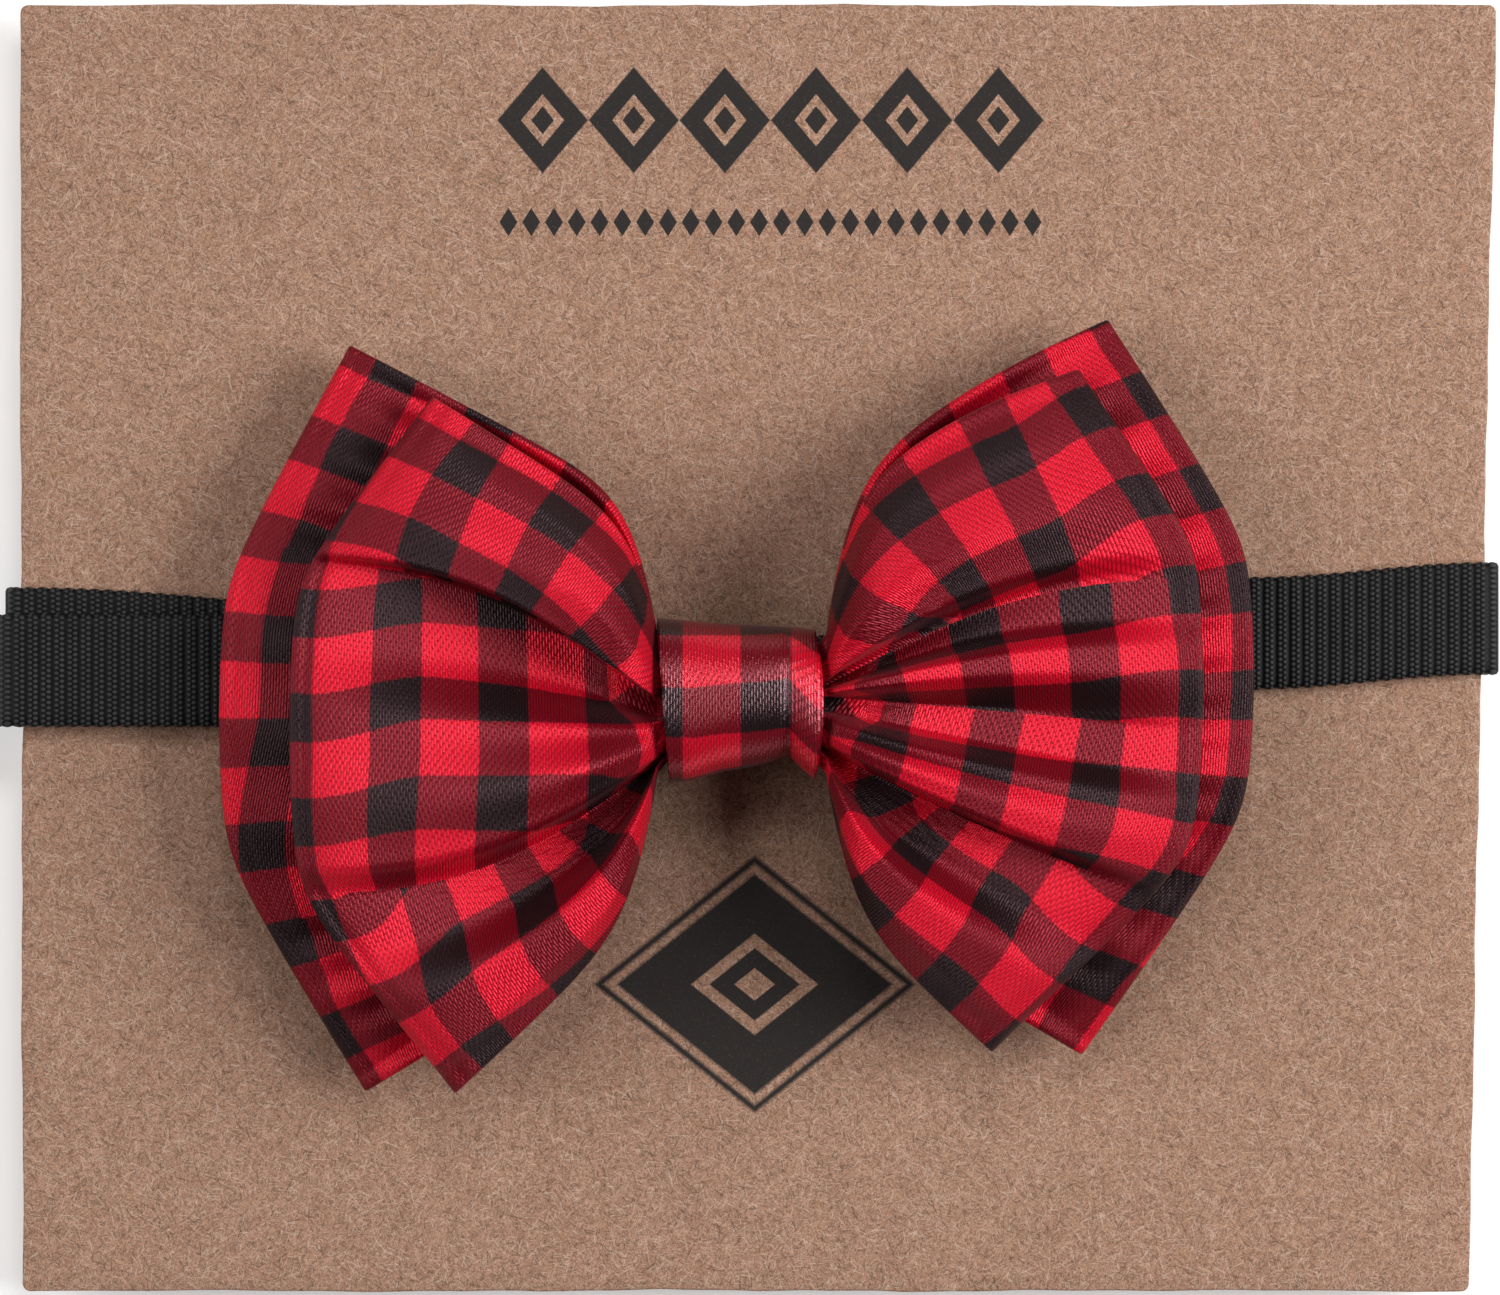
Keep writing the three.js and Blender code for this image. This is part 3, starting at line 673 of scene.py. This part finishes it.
def fold_point(bow, outline, along):
    """Plan (x, y) of the fold at along, from 0 at its widest place to 1 or -1 at a tip. The line
    draws in by b(s) = s - t + sqrt((s - t)^2 + softness^2): slowly to the turn t, then straight."""
    softness = 0.13

    def bend(share):
        return share - outline["turns"] + np.hypot(share - outline["turns"], softness)

    along = np.asarray(along, float)
    inset = (bend(np.abs(along)) - bend(0)) / (bend(1) - bend(0))
    tip_x = np.where(along > 0, outline["top_x"], outline["bottom_x"])
    tip_y = np.where(along > 0, outline["top_y"], -outline["bottom_y"])
    x = (outline["reach"] + (tip_x - outline["reach"]) * inset) * bow["width"] / 2
    y = (outline["widest"] + (tip_y - outline["widest"]) * np.abs(along)) * bow["height"] / 2
    return x, y


def crease_line(bow, outline, crease, share):
    """Plan (x, y) of a crease from the knot to the fold: x goes evenly, y climbs by a quick part
    1 - exp(-distance / shoulder_length), an even part and a bulge sweep * sin(pi * share)."""
    fold_x, fold_y = fold_point(bow, outline, crease["fold"])
    quick = 1 - np.exp(-share * (fold_x - waist_reach) / shoulder_length)
    climb = (crease["shoulder"] * quick + (1 - crease["shoulder"]) * share
             + crease["sweep"] * np.sin(math.pi * share))
    start = crease["knot"] * waist_half
    return waist_reach + (fold_x - waist_reach) * share, start + (fold_y - start) * climb


def pressed_line(distance, line):
    """The relief of a pressed line: -depth * exp(-((distance - place) / width)^2)."""
    depth, place, width = line
    return -depth * np.exp(-((distance - place) / width) ** 2)


def lobe_surface(bow, side, number, share, within):
    """Upper and lower panel (share, within, xyz) of one lobe, from the bow's middle, and the
    place of its columns along the fold. Share goes from the knot to the fold and within from the
    crease above to the one below. The upper panel stands off the wing's middle level by half the
    thickness plus swell * form. The form eases by 3t2 - 2t3 from each of its places to the next.
    The swell of a lobe grows by 1 - exp(-swell_rate * share) and falls evenly to nothing where
    the nearer crease has flattened out, but creases are deep from the knot on. The section at the
    knot is round, sqrt(1 - knot_roundness * place^2). Both panels close at the fold as
    sqrt(1 - share^closing_power). The upper one has a pressed line inside the fold and, on the
    first and the last lobe, one inside the band's edge."""
    wing = bow[side]
    outline = wing["outline"]
    above, below = wing["creases"][number:number + 2]
    s = share[:, None]
    w = within[None, :]
    upper = crease_line(bow, outline, above, s)
    lower = crease_line(bow, outline, below, s)
    along = above["fold"] + (below["fold"] - above["fold"]) * w
    fold = fold_point(bow, outline, along)
    fold_above = fold_point(bow, outline, above["fold"])
    fold_below = fold_point(bow, outline, below["fold"])
    bulge = s ** bulge_power
    plan = [upper[i] + (lower[i] - upper[i]) * w
            + bulge * (fold[i] - fold_above[i] - (fold_below[i] - fold_above[i]) * w)
            for i in (0, 1)]
    form = [(0.0, above["depth"]), *above["form"], (1.0, below["depth"])]
    profile = form[0][1] + sum(
        (after[1] - before[1]) * smooth_step(w, before[0], after[0])
        for before, after in zip(form, form[1:]))

    def fade(crease):
        left = 1 - s / crease["runs"]
        return (left + np.hypot(left, crease_end_softness)) / 2

    beside_knot = np.where(profile < 0, 0.0, 1.0) * np.exp(-s * swell_rate)
    swell = (1 - beside_knot) * (fade(above) * (1 - w) + fade(below) * w)
    rise = waist_thickness * swell * profile
    settle = smooth_step(s, 0, settled_share)
    standing = (waist_thickness + (crease_thickness - waist_thickness) * settle) / 2
    place = above["knot"] + (below["knot"] - above["knot"]) * w
    round_section = np.sqrt(1 - knot_roundness * place ** 2)
    standing = standing * (1 + (round_section - 1) * (1 - smooth_step(s, 0, round_share)))
    closing = np.sqrt(1 - s ** closing_power)
    runs = above["runs"] * (1 - w) + below["runs"] * w
    wave = wave_height * waist_thickness * profile * s ** 2 * np.clip((runs - 0.7) / 0.5, 0, 1)
    pressed = pressed_line((1 - s) * (fold[0] - waist_reach), fold_line)
    if number in (0, len(wing["creases"]) - 2):
        lobe_width = np.hypot(lower[0] - upper[0], lower[1] - upper[1])
        from_edge = lobe_width * (w if number == 0 else 1 - w)
        pressed = pressed + smooth_step(s, *edge_line_shares) * pressed_line(from_edge, edge_line)
    level = (bow["waist_level"] + (bow["fold_level"] - bow["waist_level"]) * s + wave
             - tip_droop * along ** 2 * s ** 2)
    # Gathers lie beside the knot, three and a half to a lobe. Pleats, four to a lobe, are highest
    # half way. The ripple runs on over all lobes of a wing.
    gathers = gather_height * np.exp(-s * 9) * (1 - np.exp(-s * 30)) * np.clip(profile, 0, 1)
    gathers = gathers * np.sin(2 * math.pi * w * 3.5 + 9 * s + number)
    pleats = np.sin(math.pi * s ** 0.7) ** 0.8 * np.sin(2 * math.pi * w * 4 + 2 * s)
    ripple = ripple_height * s * (1 - s ** 4) * np.sin(7 * s + 5.2 * w + 2.1 * number + side)
    up = (standing + rise + gathers + ripple + bow["pleats"][0] * pleats) * closing + pressed
    down = (standing - bow["nest"] * rise + bow["pleats"][1] * pleats) * closing
    x = side * plan[0] + 0 * w
    y = plan[1] - above["lean"] * rise
    y_low = plan[1] - above["lean"] * bow["nest"] * rise
    shape = np.broadcast(x, y, level + up).shape

    def stack(px, py, pz):
        return np.stack([np.broadcast_to(part, shape) for part in (px, py, pz)], -1)

    return stack(x, y, level + up), stack(x, y_low, level - down), np.broadcast_to(along, shape)


def cloth_coordinates(bow, side, number, top, along, share):
    """Lengths of cloth on one lobe's upper panel, less those of the first dark stripe: (from the
    fold inwards, from the band's top edge down). In a lobe the threads run along its guide line,
    which lies in its middle, and in the outer lobes nearer the band's edge. So the place is the
    nearest point of that line and the distance from it. Near the fold it blends to the distance
    from the fold and the share of the fold's length."""
    wing = bow[side]
    lobes = len(wing["creases"]) - 1
    columns = top.shape[1]
    guide_share = 0.35 if number == 0 else 0.65 if number == lobes - 1 else 0.5
    smoothings = 6
    far = 9
    guide_column = int(columns * guide_share)
    guide = top[:, guide_column].copy()
    for _ in range(smoothings):
        guide[1:-1] = (guide[:-2] + 2 * guide[1:-1] + guide[2:]) / 4
    step = np.diff(guide, axis=0)
    length = np.linalg.norm(step, axis=1)
    to_fold = np.append(np.cumsum(length[::-1])[::-1], 0)
    offset = top[:, :, None, :] - guide[None, None, :-1, :]
    t = (offset * step).sum(-1) / length ** 2
    # The first and the last step of the guide line also reach far beyond its ends.
    low = np.append(-far, np.zeros(len(step) - 1))
    high = np.append(np.ones(len(step) - 1), far)
    t = np.clip(t, low, high)
    away = offset - t[..., None] * step
    distance = np.linalg.norm(away, axis=-1)
    nearest = distance.argmin(-1)
    t, distance = (np.take_along_axis(values, nearest[..., None], -1)[..., 0]
                   for values in (t, distance))
    from_fold = to_fold[nearest] - t * length[nearest]
    sign = np.sign(np.arange(columns) - guide_column)[None, :]

    even = np.linspace(1, -1, fold_samples)
    fold_x, fold_y = fold_point(bow, wing["outline"], even)
    fold_length = np.append(0, np.cumsum(np.hypot(np.diff(fold_x), np.diff(fold_y))))
    fold_share = np.interp(-along, -even, fold_length / fold_length[-1])
    down_fold = fold_share * band_width
    down = down_fold[:, guide_column][:, None] + sign * distance
    strip_step = np.linalg.norm(np.diff(top, axis=0), axis=2)
    strip_to_fold = np.concatenate([np.cumsum(strip_step[::-1], axis=0)[::-1],
                                    np.zeros((1, columns))])
    blend = smooth_step(share, *follow_fold_shares)[:, None]
    down = down + (down_fold - down) * blend
    from_fold = from_fold + (strip_to_fold - from_fold) * blend
    start = np.interp(down / band_width, stripe_levels, wing["columns_from"]) * mm
    first_row = np.interp(down / band_width, stripe_levels, wing["rows_from"]) * mm
    first_row = first_row + (wing["fold_row"] * mm - first_row) * blend
    return np.stack([from_fold - start, down - first_row], -1)


def wing_panels(bow, side, share):
    """All lobes of a wing side by side: upper panel, lower panel, and for each strip between two
    neighbouring columns the pair of cloth coordinates of its two sides."""
    lobes = len(bow[side]["creases"]) - 1
    strips = strips_across // lobes
    within = np.linspace(0, 1, strips + 1)
    upper, lower, pairs = [], [], []
    for number in range(lobes):
        top, under, along = lobe_surface(bow, side, number, share, within)
        cloth = cloth_coordinates(bow, side, number, top, along, share) / mm
        last = number == lobes - 1
        upper.append(top if last else top[:, :-1])
        lower.append(under if last else under[:, :-1])
        pairs.append(np.stack([cloth[:, :-1], cloth[:, 1:]], 2))
    return [np.concatenate(part, 1) for part in (upper, lower, pairs)]


def band_uv(pairs, rim_faces):
    """Cloth coordinates of a band's skin, which goes over the outer face, round one edge, back
    over the inner face and round the other edge, from the pairs of the outer face's strips."""
    far_rim = np.repeat(pairs[:, -1:, 1], rim_faces, 1)
    near_rim = np.repeat(pairs[:, :1, 0], rim_faces, 1)
    return corner_uv(*(
        np.concatenate([pairs[:, :, side], far_rim, pairs[:, ::-1, 1 - side], near_rim], 1)
        for side in (0, 1)))


def add_bow(name, bow):
    """The band's skin as a ring of rings: round the bow from the left fold over the top to the
    right one and back below, and round the cloth over its outer face and back over its inner
    face, which lies cloth_wall further in and ends as much short of each fold."""
    middle = np.array([bow_x, bow_y, 0])
    mirrored = np.array([-1, 1])
    share = 0.5 - 0.5 * np.cos(math.pi * np.linspace(0, 1, steps_along + 1))
    shrink = 1 - cloth_wall / (bow["width"] / 2 - waist_reach)
    outer, inner, cloth = [], [], []
    for side in (-1, 1):
        top, under, pairs = wing_panels(bow, side, share)
        top_in, under_in, _ = wing_panels(bow, side, share * shrink)
        centre = (top_in[..., 2] + under_in[..., 2]) / 2
        half = (top_in[..., 2] - under_in[..., 2]) / 2
        least = least_inner_half * np.sqrt(1 - share ** closing_power)[:, None]
        half = np.maximum(half - cloth_wall, least)
        top_in[..., 2] = centre + half
        under_in[..., 2] = centre - half
        order = slice(None, None, -1) if side < 0 else slice(None)
        outer.append((top[order], under[order][::-1]))
        inner.append((top_in[order], under_in[order][::-1]))
        cloth.append((pairs[order], (pairs * mirrored)[order][::-1]))

    def waist(first, last):
        """Rows between two waist rows, drawn in by waist_pinch * sqrt(sin(pi * share)) under the
        knot."""
        share = np.linspace(0, 1, waist_steps + 1)[1:-1].reshape((-1,) + (1,) * first.ndim)
        rows = first + (last - first) * share
        if first.shape[-1] == 3:
            rows[..., 1] *= 1 - waist_pinch * np.sqrt(np.sin(math.pi * share[..., 0]))
        return rows

    def round_the_bow(parts):
        """Top left, top right, bottom right without its fold row, bottom left likewise."""
        (top_left, under_left), (top_right, under_right) = parts
        return np.concatenate([
            top_left, waist(top_left[-1], top_right[0]), top_right, under_right[1:],
            waist(under_right[-1], under_left[0]), under_left[:-1]])

    outside, inside, pairs = (round_the_bow(parts) for parts in (outer, inner, cloth))

    def rim(edge, before):
        """The cloth's edge: half way between both faces and a little beyond them."""
        away = outside[:, edge] - outside[:, before]
        away /= np.linalg.norm(away, axis=1)[:, None]
        return (outside[:, edge] + inside[:, edge]) / 2 + rim_swell * away

    top_rim, bottom_rim = rim(0, 1), rim(-1, -2)
    points = np.concatenate([outside, bottom_rim[:, None], inside[:, ::-1], top_rim[:, None]], 1)
    rows, columns = points.shape[:2]
    faces = grid_faces(rows, columns, True)
    uv = band_uv(np.concatenate([pairs, pairs[:1]]), 2)
    return add_mesh(name, points.reshape(-1, 3) + middle, faces, uv)


def new_group(name, inputs, outputs):
    """A shader node group with named sockets, given as (name, kind, value)."""
    group = bpy.data.node_groups.new(name, 'ShaderNodeTree')
    for label, kind, value in inputs:
        socket = group.interface.new_socket(name=label, in_out='INPUT', socket_type=kind)
        if value is not None:
            socket.default_value = value
    for label, kind in outputs:
        group.interface.new_socket(name=label, in_out='OUTPUT', socket_type=kind)
    return group, group.nodes.new('NodeGroupInput'), group.nodes.new('NodeGroupOutput')


# Gingham woven in satin: dark stripes of 4.4 mm every 9.45 mm both ways. Where two cross it is
# black, where one runs it is wine red. Long floats give each check its fine slanting lustre, partly
# as relief and partly as colour painted lighter on the floats' tops and darker between the threads.
# All lengths in this group are millimetres, as the cloth's coordinates are.
gingham, start, end = new_group("gingham_satin", [
    ("Cloth", 'NodeSocketVector', None),
    ("Period", 'NodeSocketFloat', 9.45),
    ("Stripe", 'NodeSocketFloat', 4.4),
    ("Red", 'NodeSocketColor', (0.62, 0.004, 0.022, 1)),
    ("Wine", 'NodeSocketColor', (0.175, 0.002, 0.009, 1)),
    ("Black", 'NodeSocketColor', (0.011, 0.006, 0.007, 1)),
    ("Smoothest", 'NodeSocketFloat', 0.26),
    ("Roughest", 'NodeSocketFloat', 0.42),
], [("Colour", 'NodeSocketColor'), ("Height", 'NodeSocketFloat'), ("Roughness", 'NodeSocketFloat')])
cloth = start.outputs["Cloth"]
unsteady = node(gingham, 'ShaderNodeTexNoise', {'Vector': cloth, 'Scale': 2.2, 'Detail': 3.0})
swing = node(gingham, 'ShaderNodeVectorMath', {0: unsteady.outputs['Color'], 1: (0.5, 0.5, 0.5)},
             operation='SUBTRACT')
shifted_cloth = node(gingham, 'ShaderNodeVectorMath', {
    0: swing.outputs[0], 1: (0.3, 0.3, 0.3), 2: cloth}, operation='MULTIPLY_ADD')
apart = node(gingham, 'ShaderNodeSeparateXYZ', {0: shifted_cloth.outputs[0]})


def stripe(along):
    """1 in a dark stripe, where the distance to the nearest multiple of the period is less than
    half the stripe's width, and 0 outside it. The change takes 0.2 mm."""
    period = start.outputs["Period"]
    shifted = maths('MULTIPLY_ADD', period, 0.5, along)
    within = maths('FLOORED_MODULO', shifted, period)
    off = maths('ABSOLUTE', maths('MULTIPLY_ADD', period, -0.5, within))
    return map_range(maths('MULTIPLY_ADD', start.outputs["Stripe"], 0.5, maths(
        'MULTIPLY', off, -1.0)), -0.1, 0.1)


along_stripe = stripe(apart.outputs[0])
across_stripe = stripe(apart.outputs[1])
plain = mix_colour(along_stripe, start.outputs["Red"], start.outputs["Wine"])
crossed = mix_colour(along_stripe, start.outputs["Wine"], start.outputs["Black"])
check = mix_colour(across_stripe, plain, crossed)

thread_pitch = 0.25
float_length = 0.9
float_step = 0.4
straight = node(gingham, 'ShaderNodeSeparateXYZ', {0: cloth})


def arch(share):
    """sin(pi * share), from 0 over 1 to 0."""
    return maths('SINE', maths('MULTIPLY', share, math.pi))


thread = maths('DIVIDE', straight.outputs[0], thread_pitch)
round_thread = arch(maths('FRACT', thread))
floats_along = maths('DIVIDE', straight.outputs[1], float_length)
set_off = maths('MULTIPLY', maths('FLOOR', thread), float_step)
run_along = maths('FRACT', maths('ADD', floats_along, set_off))
float_arch = maths('POWER', arch(run_along), 0.5)
weave = maths('MULTIPLY', round_thread, float_arch)
fray = noise(cloth, 7.0, 2.0, 0.7)
height = maths('ADD', weave, maths('MULTIPLY', fray, 0.8))
# The colour is scaled by the float relief: a painted highlight on the floats' tops and painted
# shade between the threads, with the fray noise as a random tone.
feed(end, {
    'Colour': scale_colour(check, map_range(height, 0.3, 1.4, 0.5, 1.36)),
    'Height': height, 'Roughness': map_range(
        fray, 0.3, 0.7, start.outputs["Smoothest"], start.outputs["Roughest"])})


def satin_material(name, relief=0.7, shine=0.36, roughness=(0.26, 0.42)):
    """Gingham satin: the woven pattern in the cloth's own coordinates, with a soft pink lustre
    and the relief of its floats."""
    material, tree, shader = new_material(name)
    cloth = node(tree, 'ShaderNodeUVMap', uv_map="cloth_mm").outputs[0]
    woven = node(tree, 'ShaderNodeGroup', node_tree=gingham)
    feed(woven, {'Cloth': cloth, 'Smoothest': roughness[0], 'Roughest': roughness[1]})
    feed(shader, {
        'Base Color': woven.outputs["Colour"], 'Roughness': woven.outputs["Roughness"],
        'Metallic': 0.3, 'Specular IOR Level': shine, 'Specular Tint': (1.0, 0.6, 0.66, 1),
        'Sheen Weight': 0.05, 'Sheen Roughness': 0.35, 'Sheen Tint': (1.0, 0.62, 0.68, 1)})
    add_bump(shader, woven.outputs["Height"], relief, 0.09 * mm)
    return material


back = add_bow("back_bow_cloth", back_bow)
back.data.materials.append(satin_material("back_satin"))
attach(back, "root")
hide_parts("back_bow")

# Front bow: the same band a little narrower, on top of the back bow. Its gathers stand up as
# deep lobes, three on the left wing and four on the right, and the outer ones lean inwards.
front_bow = bow_facts(
    width=79.8 * mm, height=60.2 * mm, fold_level=card_high.z + 11.9 * mm,
    waist_level=front_waist, nest=0.22, pleats=(0.0, 1.25 * mm),
    left=(
        (0.99, -0.07, 0.45, 0.68, 0.89, 0.63, 1.13), [
            (1.0, 1.0, 0.41, 0.0, 0.0, 1.28, 0.15, ((0.3, 1.0), (0.66, 1.5), (0.92, 1.35))),
            (0.04, 0.5, 0.0, 0.27, -0.6, 1.12, 0.0,
             ((0.24, -0.5), (0.5, 0.8), (0.74, 1.35), (0.93, 1.1))),
            (-0.8, -0.45, 0.0, 0.3, -0.5, 1.12, -0.15, ((0.28, -0.4), (0.62, 0.95), (0.85, 0.8))),
            (-1.0, -1.0, 0.41, 0.0, 0.0, 1.28, 0.0, ()),
        ], (4.8, 2.3, 1.4, 2.2, 3.2), (-1.7, -0.1, 0.55, 0.2, -3.0), 4.3),
    right=(
        (1.01, 0.03, 0.45, 0.74, 0.97, 0.55, 1.01), [
            (1.0, 1.0, 0.5, 0.05, 0.0, 1.28, 0.18, ((0.28, 0.9), (0.6, 1.4), (0.84, 1.0))),
            (0.27, 0.36, 0.0, 0.27, -0.62, 0.95, 0.0, ((0.24, -0.5), (0.48, 0.95), (0.62, 0.95))),
            (0.1, -0.1, 0.0, 0.0, -0.5, 1.12, 0.05,
             ((0.28, -0.42), (0.5, 0.8), (0.75, 1.2), (0.93, 1.1))),
            (-0.6, -0.56, 0.0, 0.05, -0.55, 1.12, -0.15, ((0.3, -0.4), (0.62, 0.95), (0.85, 0.8))),
            (-1.0, -1.0, 0.45, 0.0, 0.0, 1.28, 0.0, ()),
        ], (5.9, 5.4, 4.4, 3.0, 2.4), (2.1, 1.0, 0.3, 0.3, -0.6), 3.7))
front = add_bow("front_bow_cloth", front_bow)
front.data.materials.append(satin_material("front_satin"))
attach(front, "root")
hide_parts("front_bow")

# Knot: a narrow band of the same satin pulled tight round both waists and the strap. Its right
# part is folded over, with a notch below the fold and a rolled hem along its edge.
knot_steps = 168
knot_columns = 60
knot_crown = 0.35 * mm
knot_power = 1 / 1.2
knot_middle_z = (knot_high.z + knot_low.z) / 2 + knot_crown
knot_half_z = (knot_high.z - knot_low.z) / 2 + knot_crown
notch_x = 4.1 * mm
notch_width = 0.35 * mm
check_shift = 2.1 * mm
row_level = -1.0 * mm
flap_slant = 0.55
# X of the band's side edges at its front. The left one slants to the left towards the head, and
# the right one draws in towards head and foot.
knot_left, left_slant = -6.9 * mm, 0.55 * mm
knot_right, right_draw = 7.15 * mm, 0.7 * mm
# Relief of the front: the folded flap, the valley at the notch, the bead of the hem with its
# place and width as shares of the band, the drop of the rolled hem and a soft unevenness.
flap_height, valley_depth, bead_height = 0.25 * mm, 0.35 * mm, 0.22 * mm
bead_middle, bead_width = 0.965, 0.022
hem_drop = 0.5 * mm
soft_height = 0.12 * mm
front_inset = 0.25 * mm
# Edges of the band seen from the front, from the bow's middle: (x, top y, bottom y).
knot_outline = np.array([
    (-7.4, 7.55, -6.95), (-4.5, 7.3, -6.85), (-1.9, 7.05, -6.0), (2.0, 6.85, -5.3),
    (4.1, 6.75, -4.6), (5.2, 6.65, -5.7), (6.3, 6.5, -6.6), (7.4, 6.3, -6.5)]) * mm


def knot_band_points(inset):
    """Rings across the band, all the way round the waist, and their x. Round the waist the
    section is y = |cos(a)|^knot_power and z = |sin(a)|^knot_power with their signs, between the
    top and bottom edges for that x. The relief of the front is added to it."""
    a = np.linspace(0, 2 * math.pi, knot_steps, endpoint=False)[:, None]
    w = np.linspace(0, 1, knot_columns)[None, :]
    cos_part = np.sign(np.cos(a)) * np.abs(np.cos(a)) ** knot_power
    sin_part = np.sign(np.sin(a)) * np.abs(np.sin(a)) ** knot_power
    left = knot_left - left_slant * cos_part
    right = knot_right - right_draw * cos_part ** 2
    x = left + (right - left) * w
    top = np.interp(x, knot_outline[:, 0], knot_outline[:, 1])
    bottom = np.interp(x, knot_outline[:, 0], knot_outline[:, 2])
    centre = (top + bottom) / 2
    half = (top - bottom) / 2
    flap = smooth_step(x, notch_x - 0.15 * mm, notch_x + notch_width)
    valley = np.exp(-((x - notch_x) / notch_width) ** 2)
    hem = np.exp(-((w - bead_middle) / bead_width) ** 2)
    lift = flap_height * flap - valley_depth * valley + bead_height * hem
    roll = hem_drop * smooth_step(w, 0.9, 1.0)
    soft = soft_height * np.sin(3 * w * math.pi + 2.2 * a)
    relief = (lift - roll + soft) * np.clip(sin_part, 0, 1)
    y = centre + (half - inset) * cos_part
    z = knot_middle_z + (knot_half_z - front_inset - inset) * sin_part + relief
    return np.stack(np.broadcast_arrays(x + bow_x, y + bow_y, z), -1), x


outside, across = knot_band_points(0.0)
inside, _ = knot_band_points(cloth_wall)
arc_step = np.linalg.norm(np.roll(outside, -1, 0) - outside, axis=2)
round_band = np.concatenate([np.zeros((1, knot_columns)), np.cumsum(arc_step, 0)])
front_row = knot_steps // 4
round_band = round_band - round_band[front_row]
across = np.concatenate([across, across[:1]])
slant = flap_slant * np.clip(across - notch_x, 0, None)
cloth_grid = np.stack([across - check_shift, round_band + row_level - slant], -1) / mm
points = np.concatenate([outside, inside[:, ::-1]], 1)
faces = grid_faces(knot_steps, 2 * knot_columns, True)
pairs = np.stack([cloth_grid[:, :-1], cloth_grid[:, 1:]], 2)
knot = add_mesh("knot_cloth", points.reshape(-1, 3), faces, band_uv(pairs, 1))
knot.data.materials.append(
    satin_material("knot_satin", relief=0.42, shine=1.0, roughness=(0.17, 0.28)))
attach(knot, "root")
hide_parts("knot_band")
